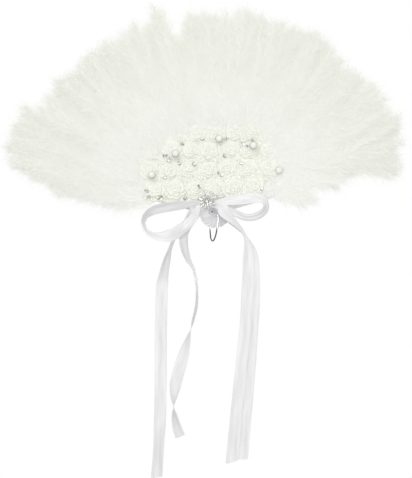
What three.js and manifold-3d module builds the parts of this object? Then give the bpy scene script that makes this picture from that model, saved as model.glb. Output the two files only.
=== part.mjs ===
// A bridal hand fan: ten plumed sticks on one rivet, held open by a panel of fabric roses, with
// pearls, a brooch and a satin bow on the front and a wire bail hanging from the rivet.
// Millimetres. It is drawn facing the viewer (x right, y up, z towards the viewer) and then stood
// upright, so the finished part has Z up and its front towards -Y.
// The origin is on the rivet's axis, half way through the stack of sticks.
import * as THREE from 'three';
import { mergeVertices } from 'three/addons/utils/BufferGeometryUtils.js';
import Module from 'manifold-3d';

// Fit
const clearance = 0.3; // between pieces that touch

// Sticks: angles are degrees from the right-hand side, and the left one is at the back
const stickCount = 10;
const leftAngle = 164;
const rightAngle = 18;
const stickThickness = 0.9;
const guardThickness = 1.3; // the two outer sticks
const frontTailReach = 13; // rivet to the round lower end of the front guard
const rearTailReach = 20.5; // the same on the rear guard, with the staves in between
const tailRadius = 5.2;
const neckWidth = 8.6;
const neckRise = 9; // rivet to the narrowest place
const gorgeWidth = 12;
const gorgeReach = 80; // rivet to the shoulder
const shoulderLength = 7;
const ribWidth = 4; // the narrow rib that carries the plume
const ribTipWidth = 3;
const ribReach = 152;
const gripStart = 24; // the raised flat on the back of the rear guard
const gripEnd = 70;
const gripWidth = 6;
const gripHeight = 0.5;

// Plumes: the longest reach from the rivet, and each one's share of it from the left to the right
const plumeReach = 230;
const plumeShares = [0.987, 1, 0.943, 0.939, 0.987, 0.935, 0.957, 0.943, 0.965, 0.926];
const plumeTipLength = 36; // rounded end
const plumeTipPower = 2.6; // 2 rounds it as an ellipse, more makes it blunter
const plumeRootHalfThickness = 2;
const plumeHalfThickness = 9;
const plumeTipHalfThickness = 0.2;
const plumeSwellPower = 0.85; // under 1 puts the thickest place nearer the root

// Rivet, a tube with a rolled head at each end
const rivetRadius = 1.7;
const rivetBoreRadius = 1.05;
const rivetHeadRadius = 3.4;
const rivetHeadThickness = 0.8;
const rivetHeadRound = 0.35;

// Bail, one bent wire with its ends in the rivet's bore
const bailWireRadius = 0.7;
const bailDrop = 30.7; // rivet axis to the middle of the wire at the bottom
const bailFrontShoulder = 6.4; // how far the front leg stands out to the right
const bailRearShoulder = 2.6; // and the rear leg to the left
const bailInsert = 3.5; // length of each end inside the bore

// Roses in rows, bottom row first
const roseRadius = 9.7;
const roseHeight = 10.5;
const roseBaseRadius = 4.5;
const roseGap = 0.3; // between the roses of neighbouring rows
const roseColumnGap = 1.1; // between neighbours in a row
const roseFirstRow = 25; // rivet to the middle of the bottom row
const roseRows = [
  { count: 6, shift: -0.34 }, // shift in columns
  { count: 7, shift: -0.15 },
  { count: 7, shift: -0.05 },
  { count: 4, shift: 0.63 },
];
const petalCount = 5;
const petalLobe = 0.07; // how far a petal swells, as a share of its reach
const petalTurn = 47; // degrees from one rose to the next
const roseSeat = 0.45; // gap under a rose, which sits on a twisted panel

// Panel that carries the roses
const panelThickness = 0.8;
const panelInnerRadius = 20;
const panelMargin = 1; // past the middle of the furthest rose
const panelLeftAngle = 169;
const panelRightAngle = 13;

// Pearls, by column and row of the rose pattern
const pearlRadius = 4;
const pearlSeat = 0.5;
const pearlPlaces = [
  [0.36, 2.62],
  [2.1, 2.24],
  [-1.87, 1.83],
  [-3.09, 0.7],
  [3.42, 0.93],
];

// Bow
const ribbonWidth = 12.7;
const ribbonThickness = 0.5;
const ribbonLayerGap = 0.6; // between ribbons that cross
const ribbonEndSlant = 2.2; // how far the cut of a tail leans each way
const leftLoopLength = 60;
const rightLoopLength = 56;
const rightLoopLift = 4; // how far the right loop stands off, in front of the bottom roses
const leftLongDrop = 290; // knot to the cut of each tail
const leftTwistedDrop = 247;
const rightFrontDrop = 274;
const rightRearDrop = 271;
const knotX = -5.5;
const knotY = 10.5;
const knotHalfWidth = 6.6;
const knotHalfHeight = 5.6;
const knotDepth = 8.5;
const tieRadius = 3; // the tie behind the knot, down to the sticks
const tieRise = 3.5; // its middle above the knot's

// Brooch
const broochReach = 8.8; // middle to the tip of a ray
const broochRays = 8;
const broochThickness = 1.4; // of its base

const finish = (color, roughness, metalness = 0) =>
  new THREE.MeshStandardMaterial({ color, roughness, metalness });
const stickFinish = finish(0xe4e4e2, 0.45);
const plumeFinish = finish(0xf1f1ea, 0.95);
const roseFinish = finish(0xefeee0, 0.8);
const panelFinish = finish(0xeeeee4, 0.9);
const pearlFinish = finish(0xf4f0e4, 0.2);
const satinFinish = finish(0xf2f2f2, 0.35);
const steelFinish = finish(0xc9cacb, 0.25, 1);

const wasm = await Module();
wasm.setup();

const radians = THREE.MathUtils.degToRad;
const at = (x, y, z) => new THREE.Vector3(x, y, z);

// Where each stick lies
const stickStep = (leftAngle - rightAngle) / (stickCount - 1);
const stickPitch = stickThickness + clearance;
const stackHalf = guardThickness + (stickPitch * (stickCount - 2) + clearance) / 2;
const rearGuardFront = guardThickness - stackHalf;
const stickAngle = (i) => leftAngle - stickStep * i;
const stickBack = (i) => (i === 0 ? -stackHalf : rearGuardFront + clearance + stickPitch * (i - 1));
const thicknessOf = (i) => (i === 0 || i === stickCount - 1 ? guardThickness : stickThickness);
const stickMiddle = (i) => stickBack(i) + thicknessOf(i) / 2;

const root = new THREE.Group();
const upright = new THREE.Group();
upright.rotation.x = Math.PI / 2;
root.add(upright);

function place(name, geometry, material) {
  const mesh = new THREE.Mesh(geometry, material);
  mesh.name = name;
  upright.add(mesh);
  return mesh;
}

function toSolid(geometry) {
  const bare = geometry.clone();
  bare.deleteAttribute('normal');
  bare.deleteAttribute('uv');
  const merged = mergeVertices(bare, 1e-4);
  const vertProperties = new Float32Array(merged.attributes.position.array);
  const triVerts = new Uint32Array(merged.index.array);
  return new wasm.Manifold(new wasm.Mesh({ numProp: 3, vertProperties, triVerts }));
}

function toGeometry(solid) {
  const mesh = solid.getMesh();
  const geometry = new THREE.BufferGeometry();
  geometry.setAttribute('position', new THREE.BufferAttribute(mesh.vertProperties, 3));
  geometry.setIndex(new THREE.BufferAttribute(mesh.triVerts, 1));
  geometry.computeVertexNormals();
  return geometry;
}

// Skin over rings of equally many points, which run anticlockwise as seen from the last ring,
// with a fan over each end. Sides in turned are split along their other diagonal.
function loft(rings, turned = []) {
  const count = rings[0].length;
  const middle = (ring) => ring.reduce((sum, p) => sum.add(p), at(0, 0, 0)).divideScalar(count);
  const points = [...rings.flat(), middle(rings[0]), middle(rings.at(-1))];
  const firstMiddle = points.length - 2;
  const lastMiddle = points.length - 1;
  const lastRing = (rings.length - 1) * count;
  const index = [];
  for (let k = 0; k < count; k += 1) {
    const next = (k + 1) % count;
    index.push(firstMiddle, next, k, lastMiddle, lastRing + k, lastRing + next);
    for (let low = 0; low < lastRing; low += count) {
      const high = low + count;
      const [from, to] = turned.includes(k) ? [low + next, high + k] : [low + k, high + next];
      index.push(low + k, low + next, to, from, high + next, high + k);
    }
  }
  const geometry = new THREE.BufferGeometry().setFromPoints(points);
  geometry.setIndex(index);
  geometry.computeVertexNormals();
  return geometry;
}

// An oval ring about a centre, in the plane of the drawing.
function ovalRing(x, y, z, halfWidth, halfHeight, count) {
  return Array.from({ length: count }, (_, k) => {
    const turn = (2 * Math.PI * k) / count;
    return at(x + halfWidth * Math.cos(turn), y + halfHeight * Math.sin(turn), z);
  });
}

// One stick lying along +y: round tail, neck, gorge that widens to a shoulder, then the rib.
function stickShape(i) {
  const forward = i / (stickCount - 1);
  const tailReach = rearTailReach + (frontTailReach - rearTailReach) * forward;
  const tailMiddle = tailRadius - tailReach;
  const neck = neckWidth / 2;
  const gorge = gorgeWidth / 2;
  const rib = ribWidth / 2;
  const tip = ribTipWidth / 2;
  const shoulder = gorgeReach - shoulderLength;
  const bulge = (neckRise + shoulder) / 2;
  const shape = new THREE.Shape();
  shape.absarc(0, tailMiddle, tailRadius, Math.PI, 2 * Math.PI, false);
  shape.quadraticCurveTo(neck, 0, neck, neckRise);
  shape.quadraticCurveTo(neck, bulge, gorge, shoulder);
  shape.quadraticCurveTo(gorge, gorgeReach, rib, gorgeReach);
  shape.absarc(0, ribReach - tip, tip, 0, Math.PI, false);
  shape.lineTo(-rib, gorgeReach);
  shape.quadraticCurveTo(-gorge, gorgeReach, -gorge, shoulder);
  shape.quadraticCurveTo(-neck, bulge, -neck, neckRise);
  shape.quadraticCurveTo(-neck, 0, -tailRadius, tailMiddle);
  const hole = new THREE.Path();
  hole.absarc(0, 0, rivetRadius + clearance, 0, 2 * Math.PI, true);
  shape.holes.push(hole);
  return shape;
}

function plate(shape, thickness, curveSegments) {
  return new THREE.ExtrudeGeometry(shape, { depth: thickness, bevelEnabled: false, curveSegments });
}

// The rear guard has a raised flat with round ends on its back.
function rearGuardGeometry() {
  const half = gripWidth / 2;
  const grip = new THREE.Shape();
  grip.absarc(0, gripStart + half, half, Math.PI, 2 * Math.PI, false);
  grip.absarc(0, gripEnd - half, half, 0, Math.PI, false);
  const raised = plate(grip, guardThickness / 2 + gripHeight, 6);
  raised.translate(0, 0, -gripHeight);
  return toGeometry(toSolid(plate(stickShape(0), guardThickness, 4)).add(toSolid(raised)));
}

function stickName(i) {
  if (i === 0) return 'rear_guard';
  return i === stickCount - 1 ? 'front_guard' : `stave_${i}`;
}

for (let i = 0; i < stickCount; i += 1) {
  const geometry = i === 0 ? rearGuardGeometry() : plate(stickShape(i), thicknessOf(i), 4);
  const stick = place(stickName(i), geometry, stickFinish);
  stick.position.z = stickBack(i);
  stick.rotation.z = radians(stickAngle(i) - 90);
}

// Rivet, and how far forward it and the bail's front leg reach
const rivetHalf = stackHalf + clearance;
const rivetFront = rivetHalf + rivetHeadThickness;
const legDepth = rivetFront + clearance + bailWireRadius;
const bowBack = legDepth + bailWireRadius + 2 * clearance;

function rivetGeometry() {
  const rim = rivetHeadRadius - rivetHeadRound;
  const profile = [
    [rivetBoreRadius, -rivetFront],
    [rim, -rivetFront],
    [rivetHeadRadius, rivetHeadRound - rivetFront],
    [rivetHeadRadius, -rivetHalf],
    [rivetRadius, -rivetHalf],
    [rivetRadius, rivetHalf],
    [rivetHeadRadius, rivetHalf],
    [rivetHeadRadius, rivetFront - rivetHeadRound],
    [rim, rivetFront],
    [rivetBoreRadius, rivetFront],
    [rivetBoreRadius, -rivetFront],
  ];
  const geometry = new THREE.LatheGeometry(profile.map(([r, h]) => new THREE.Vector2(r, h)), 20);
  return geometry.rotateX(Math.PI / 2);
}

place('rivet', rivetGeometry(), steelFinish);

// Bail: out of the bore, over the head, down beside it and round the bottom to the other end.
function bailGeometry() {
  const bend = 2 * bailWireRadius;
  const leg = (shoulder, side) => [
    at(0, 0, side * (rivetFront - bailInsert)),
    at(0, 0, side * (legDepth - bend)),
    at((side * bend) / 2, -bend / 4, side * (legDepth - bend / 6)),
    at(shoulder * 0.75, -bailDrop * 0.05, side * legDepth),
    at(shoulder, -bailDrop * 0.2, side * legDepth),
    at(shoulder * 0.86, -bailDrop * 0.48, side * legDepth * 0.98),
    at(shoulder * 0.67, -bailDrop * 0.75, side * legDepth * 0.78),
    at(shoulder * 0.37, -bailDrop * 0.94, side * legDepth * 0.42),
  ];
  const bottom = at((bailFrontShoulder - bailRearShoulder) * 0.2, -bailDrop, 0);
  const front = leg(bailFrontShoulder, 1);
  const rear = leg(-bailRearShoulder, -1).reverse();
  const route = new THREE.CatmullRomCurve3([...front, bottom, ...rear]);
  const section = new THREE.Shape();
  section.absarc(0, 0, bailWireRadius, 0, 2 * Math.PI, false);
  return new THREE.ExtrudeGeometry(section, { steps: 50, extrudePath: route, curveSegments: 4 });
}

place('bail', bailGeometry(), steelFinish);

// Panel: a fabric band that climbs from stick to stick. Its back clears the edge of every stick.
const roseRowPitch = 2 * roseRadius + roseGap;
const roseColumnPitch = 2 * roseRadius + roseColumnGap;
const roseSpots = roseRows.flatMap(({ count, shift }, row) =>
  Array.from({ length: count }, (_, k) => ({
    x: (shift + k - (count - 1) / 2) * roseColumnPitch,
    y: roseFirstRow + row * roseRowPitch,
  })));
const roseReach = Math.max(...roseSpots.map(({ x, y }) => Math.hypot(x, y)));
const panelOuterRadius = roseReach + panelMargin;

function panelBack(x, y) {
  const reach = Math.hypot(x, y);
  const angle = THREE.MathUtils.radToDeg(Math.atan2(y, x));
  const edge = THREE.MathUtils.radToDeg(Math.asin(gorgeWidth / 2 / reach));
  const sticks = (leftAngle - angle + edge) / stickStep;
  const guardExtra = guardThickness - stickThickness;
  return rearGuardFront + sticks * stickPitch + guardExtra + clearance;
}

const panelFront = (x, y) => panelBack(x, y) + panelThickness;

function panelGeometry() {
  const spans = 24;
  const bands = 3;
  const rings = Array.from({ length: spans + 1 }, (_, i) => {
    const angle = radians(panelLeftAngle + ((panelRightAngle - panelLeftAngle) * i) / spans);
    const spot = (j) => {
      const reach = panelInnerRadius + ((panelOuterRadius - panelInnerRadius) * j) / bands;
      return { x: reach * Math.cos(angle), y: reach * Math.sin(angle) };
    };
    const steps = Array.from({ length: bands + 1 }, (_, j) => spot(j));
    const back = steps.map(({ x, y }) => at(x, y, panelBack(x, y)));
    const front = steps.map(({ x, y }) => at(x, y, panelFront(x, y)));
    return [...back, ...front.reverse()];
  });
  return loft(rings);
}

place('rose_panel', panelGeometry(), panelFinish);

// A rose: three tiers of lobed petals round a hollow bud, on a narrow base.
function roseGeometry() {
  const tiers = [
    { rise: 0, reach: roseBaseRadius, lobes: 0, turn: 0 },
    { rise: 0.4 * roseHeight, reach: roseRadius / (1 + petalLobe), lobes: petalLobe, turn: 0 },
    { rise: 0.47 * roseHeight, reach: 0.6 * roseRadius, lobes: 0, turn: 0 },
    { rise: 0.74 * roseHeight, reach: 0.73 * roseRadius, lobes: petalLobe, turn: 0.5 },
    { rise: 0.76 * roseHeight, reach: 0.39 * roseRadius, lobes: 0, turn: 0.5 },
    { rise: roseHeight, reach: 0.44 * roseRadius, lobes: 2 * petalLobe, turn: 0 },
    { rise: 0.88 * roseHeight, reach: 0.16 * roseRadius, lobes: 0, turn: 0 },
  ];
  const points = 3 * petalCount;
  const rings = tiers.map(({ rise, reach, lobes, turn }) =>
    Array.from({ length: points }, (_, k) => {
      const angle = (2 * Math.PI * k) / points;
      const swell = 1 + lobes * Math.cos(petalCount * angle - 2 * Math.PI * turn);
      return at(reach * swell * Math.cos(angle), reach * swell * Math.sin(angle), rise);
    }));
  return loft(rings);
}

// Each rose stands square to the panel under it.
const roses = roseSpots.map(({ x, y }, k) => {
  const rose = place(`rose_${String(k + 1).padStart(2, '0')}`, roseGeometry(), roseFinish);
  const slopeX = panelFront(x + 1, y) - panelFront(x, y);
  const slopeY = panelFront(x, y + 1) - panelFront(x, y);
  const normal = at(-slopeX, -slopeY, 1).normalize();
  rose.quaternion.setFromUnitVectors(at(0, 0, 1), normal);
  rose.rotateZ(radians(petalTurn * k));
  rose.position.copy(at(x, y, panelFront(x, y)).addScaledVector(normal, roseSeat));
  rose.updateMatrix();
  return rose;
});

// Lowest place of a pearl's middle at which it still clears every petal and the panel.
function pearlHeight(x, y) {
  const room = pearlRadius + pearlSeat;
  const point = at(0, 0, 0);
  let height = panelFront(x, y) + room;
  for (const rose of roses) {
    const corners = rose.geometry.attributes.position;
    for (let k = 0; k < corners.count; k += 1) {
      point.fromBufferAttribute(corners, k).applyMatrix4(rose.matrix);
      const away = Math.hypot(point.x - x, point.y - y);
      if (away < room) height = Math.max(height, point.z + Math.sqrt(room ** 2 - away ** 2));
    }
  }
  return height;
}

pearlPlaces.forEach(([column, row], k) => {
  const pearl = place(`pearl_${k + 1}`, new THREE.SphereGeometry(pearlRadius, 10, 7), pearlFinish);
  const x = column * roseColumnPitch;
  const y = roseFirstRow + row * roseRowPitch;
  pearl.position.set(x, y, pearlHeight(x, y));
});

// A plume along +y: a lens in section that fills its share of the fan, rounds off at the tip and
// has a pocket for the rib of its stick.
function plumeGeometry(tipReach, ribThickness) {
  const rootReach = panelOuterRadius + 2 * clearance;
  const share = Math.tan(radians(stickStep / 2));
  const stations = 11;
  const points = 12;
  const rings = Array.from({ length: stations }, (_, s) => {
    const along = Math.sin((Math.PI / 2) * (s / stations));
    const reach = rootReach + (tipReach - rootReach) * along;
    const intoTip = Math.max(0, (reach - (tipReach - plumeTipLength)) / plumeTipLength);
    const rounding = (1 - intoTip ** plumeTipPower) ** (1 / plumeTipPower);
    const halfWidth = (reach * share - clearance) * rounding;
    const swell = plumeHalfThickness * Math.sin(Math.PI * along ** plumeSwellPower);
    const halfDepth = plumeRootHalfThickness * (1 - along) + swell + plumeTipHalfThickness;
    return Array.from({ length: points }, (_, k) => {
      const turn = (2 * Math.PI * k) / points;
      return at(halfWidth * Math.sin(turn), reach, halfDepth * Math.cos(turn));
    });
  });
  const pocketLength = ribReach + clearance - gorgeReach;
  const pocket = new THREE.BoxGeometry(ribWidth + 2 * clearance, pocketLength, ribThickness + 2 * clearance);
  pocket.translate(0, gorgeReach + pocketLength / 2, 0);
  return toGeometry(toSolid(loft(rings)).subtract(toSolid(pocket)));
}

for (let i = 0; i < stickCount; i += 1) {
  const tipReach = plumeReach * plumeShares[i % plumeShares.length];
  const name = `plume_${String(i + 1).padStart(2, '0')}`;
  const plume = place(name, plumeGeometry(tipReach, thicknessOf(i)), plumeFinish);
  plume.position.z = stickMiddle(i);
  plume.rotation.z = radians(stickAngle(i) - 90);
}

// Knot of the bow, with the tie behind it that reaches down to the sticks under it
const tieY = knotY + tieRise;
const knotBack = bowBack + 2 * (ribbonThickness + ribbonLayerGap);
const knotFront = knotBack + knotDepth;

function tieSeat() {
  const reached = Array.from({ length: stickCount }, (_, i) => i).filter((i) => {
    const angle = radians(stickAngle(i));
    const aside = Math.abs(knotX * Math.sin(angle) - tieY * Math.cos(angle));
    return aside < tieRadius + gorgeWidth / 2;
  });
  return Math.max(...reached.map((i) => stickBack(i) + thicknessOf(i))) + clearance;
}

function knotGeometry() {
  const points = 16;
  const ring = (y, depth, width, height) => ovalRing(knotX, y, depth, width, height, points);
  const swell = (share, width, height) =>
    ring(knotY, knotBack + share * knotDepth, width * knotHalfWidth, height * knotHalfHeight);
  return loft([
    ring(tieY, tieSeat(), tieRadius, tieRadius),
    ring(tieY, knotBack, tieRadius, tieRadius),
    swell(0.02, 0.85, 0.8),
    swell(0.25, 1, 0.97),
    swell(0.6, 1, 1),
    swell(0.85, 0.92, 0.88),
    swell(1, 0.75, 0.7),
  ]);
}

place('bow_knot', knotGeometry(), satinFinish);

// A ribbon along a route. Each row is x, y, z, width and the ribbon's face: 0 degrees shows it flat
// to the viewer and 90 shows its edge. Both faces are split the same way, so that a twist keeps
// the thickness.
function ribbonGeometry(rows, steps, slant = 0) {
  const route = new THREE.CatmullRomCurve3(rows.map(([x, y, z]) => at(x, y, z)));
  const forms = new THREE.CatmullRomCurve3(rows.map(([, , , width, face]) => at(width, face, 0)));
  const rings = Array.from({ length: steps + 1 }, (_, s) => {
    const middle = route.getPoint(s / steps);
    const along = route.getTangent(s / steps);
    const form = forms.getPoint(s / steps);
    const face = radians(form.y);
    const flat = at(along.y, -along.x, 0).normalize();
    const width = flat.multiplyScalar(Math.cos(face)).add(at(0, 0, Math.sin(face)));
    width.addScaledVector(along, -width.dot(along)).normalize();
    const normal = along.clone().cross(width).multiplyScalar(ribbonThickness / 2);
    const lean = along.clone().multiplyScalar(s === steps ? slant : 0);
    const edge = width.multiplyScalar(form.x / 2).add(lean);
    return [[1, 1], [-1, 1], [-1, -1], [1, -1]].map(([side, up]) =>
      middle.clone().addScaledVector(edge, side).addScaledVector(normal, up));
  });
  const backFace = 2;
  return loft(rings, [backFace]);
}

// Loops leave the side of the knot and come back below, gathered at both ends. A spot is x and y
// as shares of the loop's length, its share of the lift, its share of the width, and its face.
const loopStart = knotHalfWidth + 2 * clearance;
const loopDepth = knotBack + ribbonWidth / 2;

function loopRows(side, length, lift, spots) {
  return spots.map(([x, y, rise, share, face]) => [
    knotX + side * (loopStart + x * length),
    knotY + y * length,
    loopDepth + rise * lift,
    share * ribbonWidth,
    face,
  ]);
}

const leftLoop = loopRows(-1, leftLoopLength, 0, [
  [0, -0.01, 0, 0.4, 60], [0.13, -0.03, 0, 0.6, 50], [0.31, -0.06, 0, 0.9, 44],
  [0.57, -0.095, 0, 1, 40], [0.79, -0.145, 0, 1, 44], [0.95, -0.25, 0, 1, 66],
  [1, -0.375, 0, 1, 80], [0.94, -0.51, 0, 1, 66], [0.79, -0.59, 0, 1, 48],
  [0.59, -0.6, 0, 1, 38], [0.39, -0.53, 0, 1, 28], [0.22, -0.36, 0, 1, 26],
  [0.09, -0.19, 0, 0.75, 40], [0, -0.09, 0, 0.4, 60],
]);
const rightLoop = loopRows(1, rightLoopLength, rightLoopLift, [
  [0, 0.01, 0, 0.4, 60], [0.11, 0.02, 0.4, 0.6, 50], [0.32, 0.045, 1, 0.9, 42],
  [0.54, 0.06, 1, 1, 40], [0.77, 0.07, 1, 1, 42], [0.93, 0.03, 1, 1, 52],
  [1, -0.07, 1, 1, 60], [0.97, -0.18, 0.9, 1, 56], [0.83, -0.27, 0.7, 1, 52],
  [0.61, -0.3, 0.5, 1, 50], [0.39, -0.205, 0.3, 0.9, 50], [0.18, -0.11, 0.1, 0.6, 55],
  [0, -0.09, 0, 0.4, 60],
]);
place('bow_loop_left', ribbonGeometry(leftLoop, 40), satinFinish);
place('bow_loop_right', ribbonGeometry(rightLoop, 40), satinFinish);

// Tails: two layers of ribbon that come out from under the knot and hang down. A spot is x and y
// from the knot as shares of the drop, lift from the layer and width as shares of the ribbon's
// width, and the face.
const rearLayer = bowBack + ribbonThickness / 2;
const frontLayer = rearLayer + ribbonThickness + ribbonLayerGap;

function tailRows(layer, drop, spots) {
  return spots.map(([x, y, lift, share, face]) => [
    knotX + x * drop,
    knotY - y * drop,
    layer + lift * ribbonWidth,
    share * ribbonWidth,
    face,
  ]);
}

const tails = {
  tail_left_long: tailRows(rearLayer, leftLongDrop, [
    [-0.01, 0.01, 0, 0.4, 0], [-0.045, 0.052, 0, 0.45, 0], [-0.086, 0.1, -0.05, 0.45, 0],
    [-0.12, 0.138, -0.25, 0.7, 55], [-0.134, 0.17, -0.35, 1, 70], [-0.145, 0.21, -0.3, 1, 59],
    [-0.156, 0.249, -0.18, 1, 42], [-0.164, 0.3, -0.05, 1, 27], [-0.167, 0.38, 0.1, 1, 16],
    [-0.168, 0.467, 0.12, 1, 10], [-0.169, 0.6, 0.05, 1, 6], [-0.17, 0.72, 0.14, 1, 10],
    [-0.172, 0.808, 0.16, 1, 16], [-0.177, 0.907, 0.06, 1, 8], [-0.184, 1, 0, 1, 2],
  ]),
  tail_left_twisted: tailRows(frontLayer, leftTwistedDrop, [
    [-0.01, 0.012, 0, 0.4, 0], [-0.048, 0.064, 0, 0.5, 0], [-0.081, 0.108, 0, 0.55, 0],
    [-0.097, 0.141, -0.06, 0.7, 16], [-0.1, 0.172, -0.1, 1, 46], [-0.095, 0.209, -0.1, 1, 54],
    [-0.083, 0.246, -0.04, 1, 66], [-0.06, 0.288, 0, 1, 78], [-0.047, 0.334, 0, 1, 88],
    [-0.042, 0.39, 0, 1, 97], [-0.047, 0.45, 0, 1, 97], [-0.061, 0.506, 0, 1, 95],
    [-0.079, 0.575, 0, 1, 84], [-0.092, 0.622, 0, 1, 58], [-0.113, 0.692, 0.06, 1, 22],
    [-0.13, 0.762, 0.06, 1, 22], [-0.14, 0.832, 0, 1, 56], [-0.142, 0.879, -0.05, 1, 80],
    [-0.135, 0.925, -0.05, 1, 118], [-0.123, 0.972, 0, 1, 134], [-0.112, 1, 0, 1, 142],
  ]),
  tail_right_front: tailRows(frontLayer, rightFrontDrop, [
    [0.012, 0.012, 0, 0.5, 0], [0.04, 0.012, 0, 0.6, 0], [0.061, 0.019, 0, 0.75, 0],
    [0.077, 0.038, 0, 0.78, 0], [0.093, 0.06, 0, 0.7, 0], [0.116, 0.088, 0, 0.45, 0],
    [0.136, 0.113, 0, 0.25, 0], [0.145, 0.129, 0, 0.25, 0], [0.153, 0.147, 0, 0.4, 0],
    [0.161, 0.18, 0, 0.8, 4], [0.163, 0.222, 0.05, 1, 6], [0.161, 0.306, 0.1, 1, 8],
    [0.156, 0.4, 0.16, 1, 4], [0.15, 0.495, 0.18, 1, -2], [0.136, 0.624, 0.14, 1, -5],
    [0.119, 0.792, 0.12, 1, 2], [0.106, 0.918, 0.06, 1, 2], [0.099, 1, 0.02, 1, 0],
  ]),
  tail_right_rear: tailRows(rearLayer, rightRearDrop, [
    [0.014, 0.014, 0, 0.4, 0], [0.042, 0.016, 0, 0.5, 0], [0.063, 0.025, 0, 0.55, 0],
    [0.079, 0.044, 0, 0.55, 0], [0.095, 0.066, 0, 0.5, 0], [0.119, 0.093, 0, 0.4, 0],
    [0.14, 0.119, 0, 0.25, 0], [0.149, 0.134, 0, 0.25, 0], [0.16, 0.154, 0, 0.4, 0],
    [0.174, 0.19, -0.04, 0.8, 4], [0.181, 0.232, -0.05, 1, 6], [0.185, 0.31, -0.02, 1, 8],
    [0.184, 0.408, 0.06, 1, 4], [0.178, 0.5, 0.13, 1, -2], [0.169, 0.631, 0.1, 1, -5],
    [0.155, 0.801, 0.04, 1, 2], [0.144, 0.928, 0, 1, 2], [0.138, 1, -0.02, 1, 0],
  ]),
};
for (const [name, rows] of Object.entries(tails)) {
  place(name, ribbonGeometry(rows, 40, ribbonEndSlant), satinFinish);
}

// Brooch: a domed base with pointed rays, a bead between each two and one round stone.
function broochGeometry() {
  const baseRadius = 0.7 * broochReach;
  const rayHalfLength = 0.45 * broochReach;
  const beadRadius = 0.13 * broochReach;
  const stoneRadius = 0.33 * broochReach;
  const profile = [
    [0, 0],
    [baseRadius, 0],
    [baseRadius, 0.6 * broochThickness],
    [0.5 * baseRadius, broochThickness],
    [0, broochThickness],
  ];
  const base = new THREE.LatheGeometry(profile.map(([r, h]) => new THREE.Vector2(r, h)), 2 * broochRays);
  let solid = toSolid(base.rotateX(Math.PI / 2));
  for (let k = 0; k < broochRays; k += 1) {
    const turn = (2 * Math.PI * k) / broochRays;
    const ray = new THREE.SphereGeometry(1, 6, 4);
    ray.scale(0.18 * broochReach, rayHalfLength, 0.15 * broochReach);
    ray.translate(0, broochReach - rayHalfLength, broochThickness);
    ray.rotateZ(turn);
    const bead = new THREE.SphereGeometry(beadRadius, 6, 4);
    bead.translate(0, baseRadius - beadRadius, broochThickness);
    bead.rotateZ(turn + Math.PI / broochRays);
    solid = solid.add(toSolid(ray)).add(toSolid(bead));
  }
  const stone = new THREE.SphereGeometry(stoneRadius, 10, 6);
  stone.translate(0, 0, broochThickness);
  const lowest = new THREE.BoxGeometry(4 * broochReach, 4 * broochReach, 2 * broochReach);
  lowest.translate(0, 0, -broochReach);
  return toGeometry(solid.add(toSolid(stone)).subtract(toSolid(lowest)));
}

const brooch = place('brooch', broochGeometry(), steelFinish);
brooch.position.set(knotX, knotY, knotFront + clearance);

export default root;
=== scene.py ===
import bpy
import numpy as np
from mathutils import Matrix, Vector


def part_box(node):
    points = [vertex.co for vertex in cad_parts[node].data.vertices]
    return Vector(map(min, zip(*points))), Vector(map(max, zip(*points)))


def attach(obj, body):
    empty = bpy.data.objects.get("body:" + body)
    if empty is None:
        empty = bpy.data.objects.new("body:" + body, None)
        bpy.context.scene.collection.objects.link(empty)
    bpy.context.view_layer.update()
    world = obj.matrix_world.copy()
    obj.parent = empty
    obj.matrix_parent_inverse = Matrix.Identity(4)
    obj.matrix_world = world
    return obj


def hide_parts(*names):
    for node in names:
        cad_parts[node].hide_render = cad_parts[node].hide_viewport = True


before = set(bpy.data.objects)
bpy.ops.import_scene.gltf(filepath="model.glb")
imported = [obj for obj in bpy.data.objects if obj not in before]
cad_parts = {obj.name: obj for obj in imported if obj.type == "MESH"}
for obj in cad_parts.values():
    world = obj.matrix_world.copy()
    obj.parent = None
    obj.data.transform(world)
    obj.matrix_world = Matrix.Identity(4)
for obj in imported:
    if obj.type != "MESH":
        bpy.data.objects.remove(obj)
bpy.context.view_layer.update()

# Shapes are worked out in the fan's drawing: millimetres, x right, y up, z towards the viewer,
# with the rivet at the origin. toWorld turns that into the frame's metres, Z up and front to -Y.


def toWorld(points):
    return np.stack([points[..., 0], -points[..., 2], points[..., 1]], -1) / 1000


def nodeBox(node):
    # lowest and highest corner of a solid, in the drawing
    low, high = (np.array([corner[0], corner[2], -corner[1]]) * 1000 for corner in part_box(node))
    return np.minimum(low, high), np.maximum(low, high)


def unit(vectors):
    # each vector at length 1
    return vectors / np.maximum(np.linalg.norm(vectors, axis=-1, keepdims=True), 1e-9)


class Wire:
    # a socket in a node tree; arithmetic on it adds Math nodes
    def __init__(self, tree, socket):
        self.tree = tree
        self.socket = socket

    def join(self, operation, first, second):
        node = self.tree.nodes.new("ShaderNodeMath")
        node.operation = operation
        for entry, value in zip(node.inputs, (first, second)):
            if isinstance(value, Wire):
                self.tree.links.new(value.socket, entry)
            else:
                entry.default_value = value
        return Wire(self.tree, node.outputs[0])

    def __add__(self, other):
        return self.join("ADD", self, other)

    def __sub__(self, other):
        return self.join("SUBTRACT", self, other)

    def __rsub__(self, other):
        return self.join("SUBTRACT", other, self)

    def __mul__(self, other):
        return self.join("MULTIPLY", self, other)

    def __truediv__(self, other):
        return self.join("DIVIDE", self, other)

    def __pow__(self, other):
        return self.join("POWER", self, other)

    __radd__ = __add__
    __rmul__ = __mul__


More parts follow.
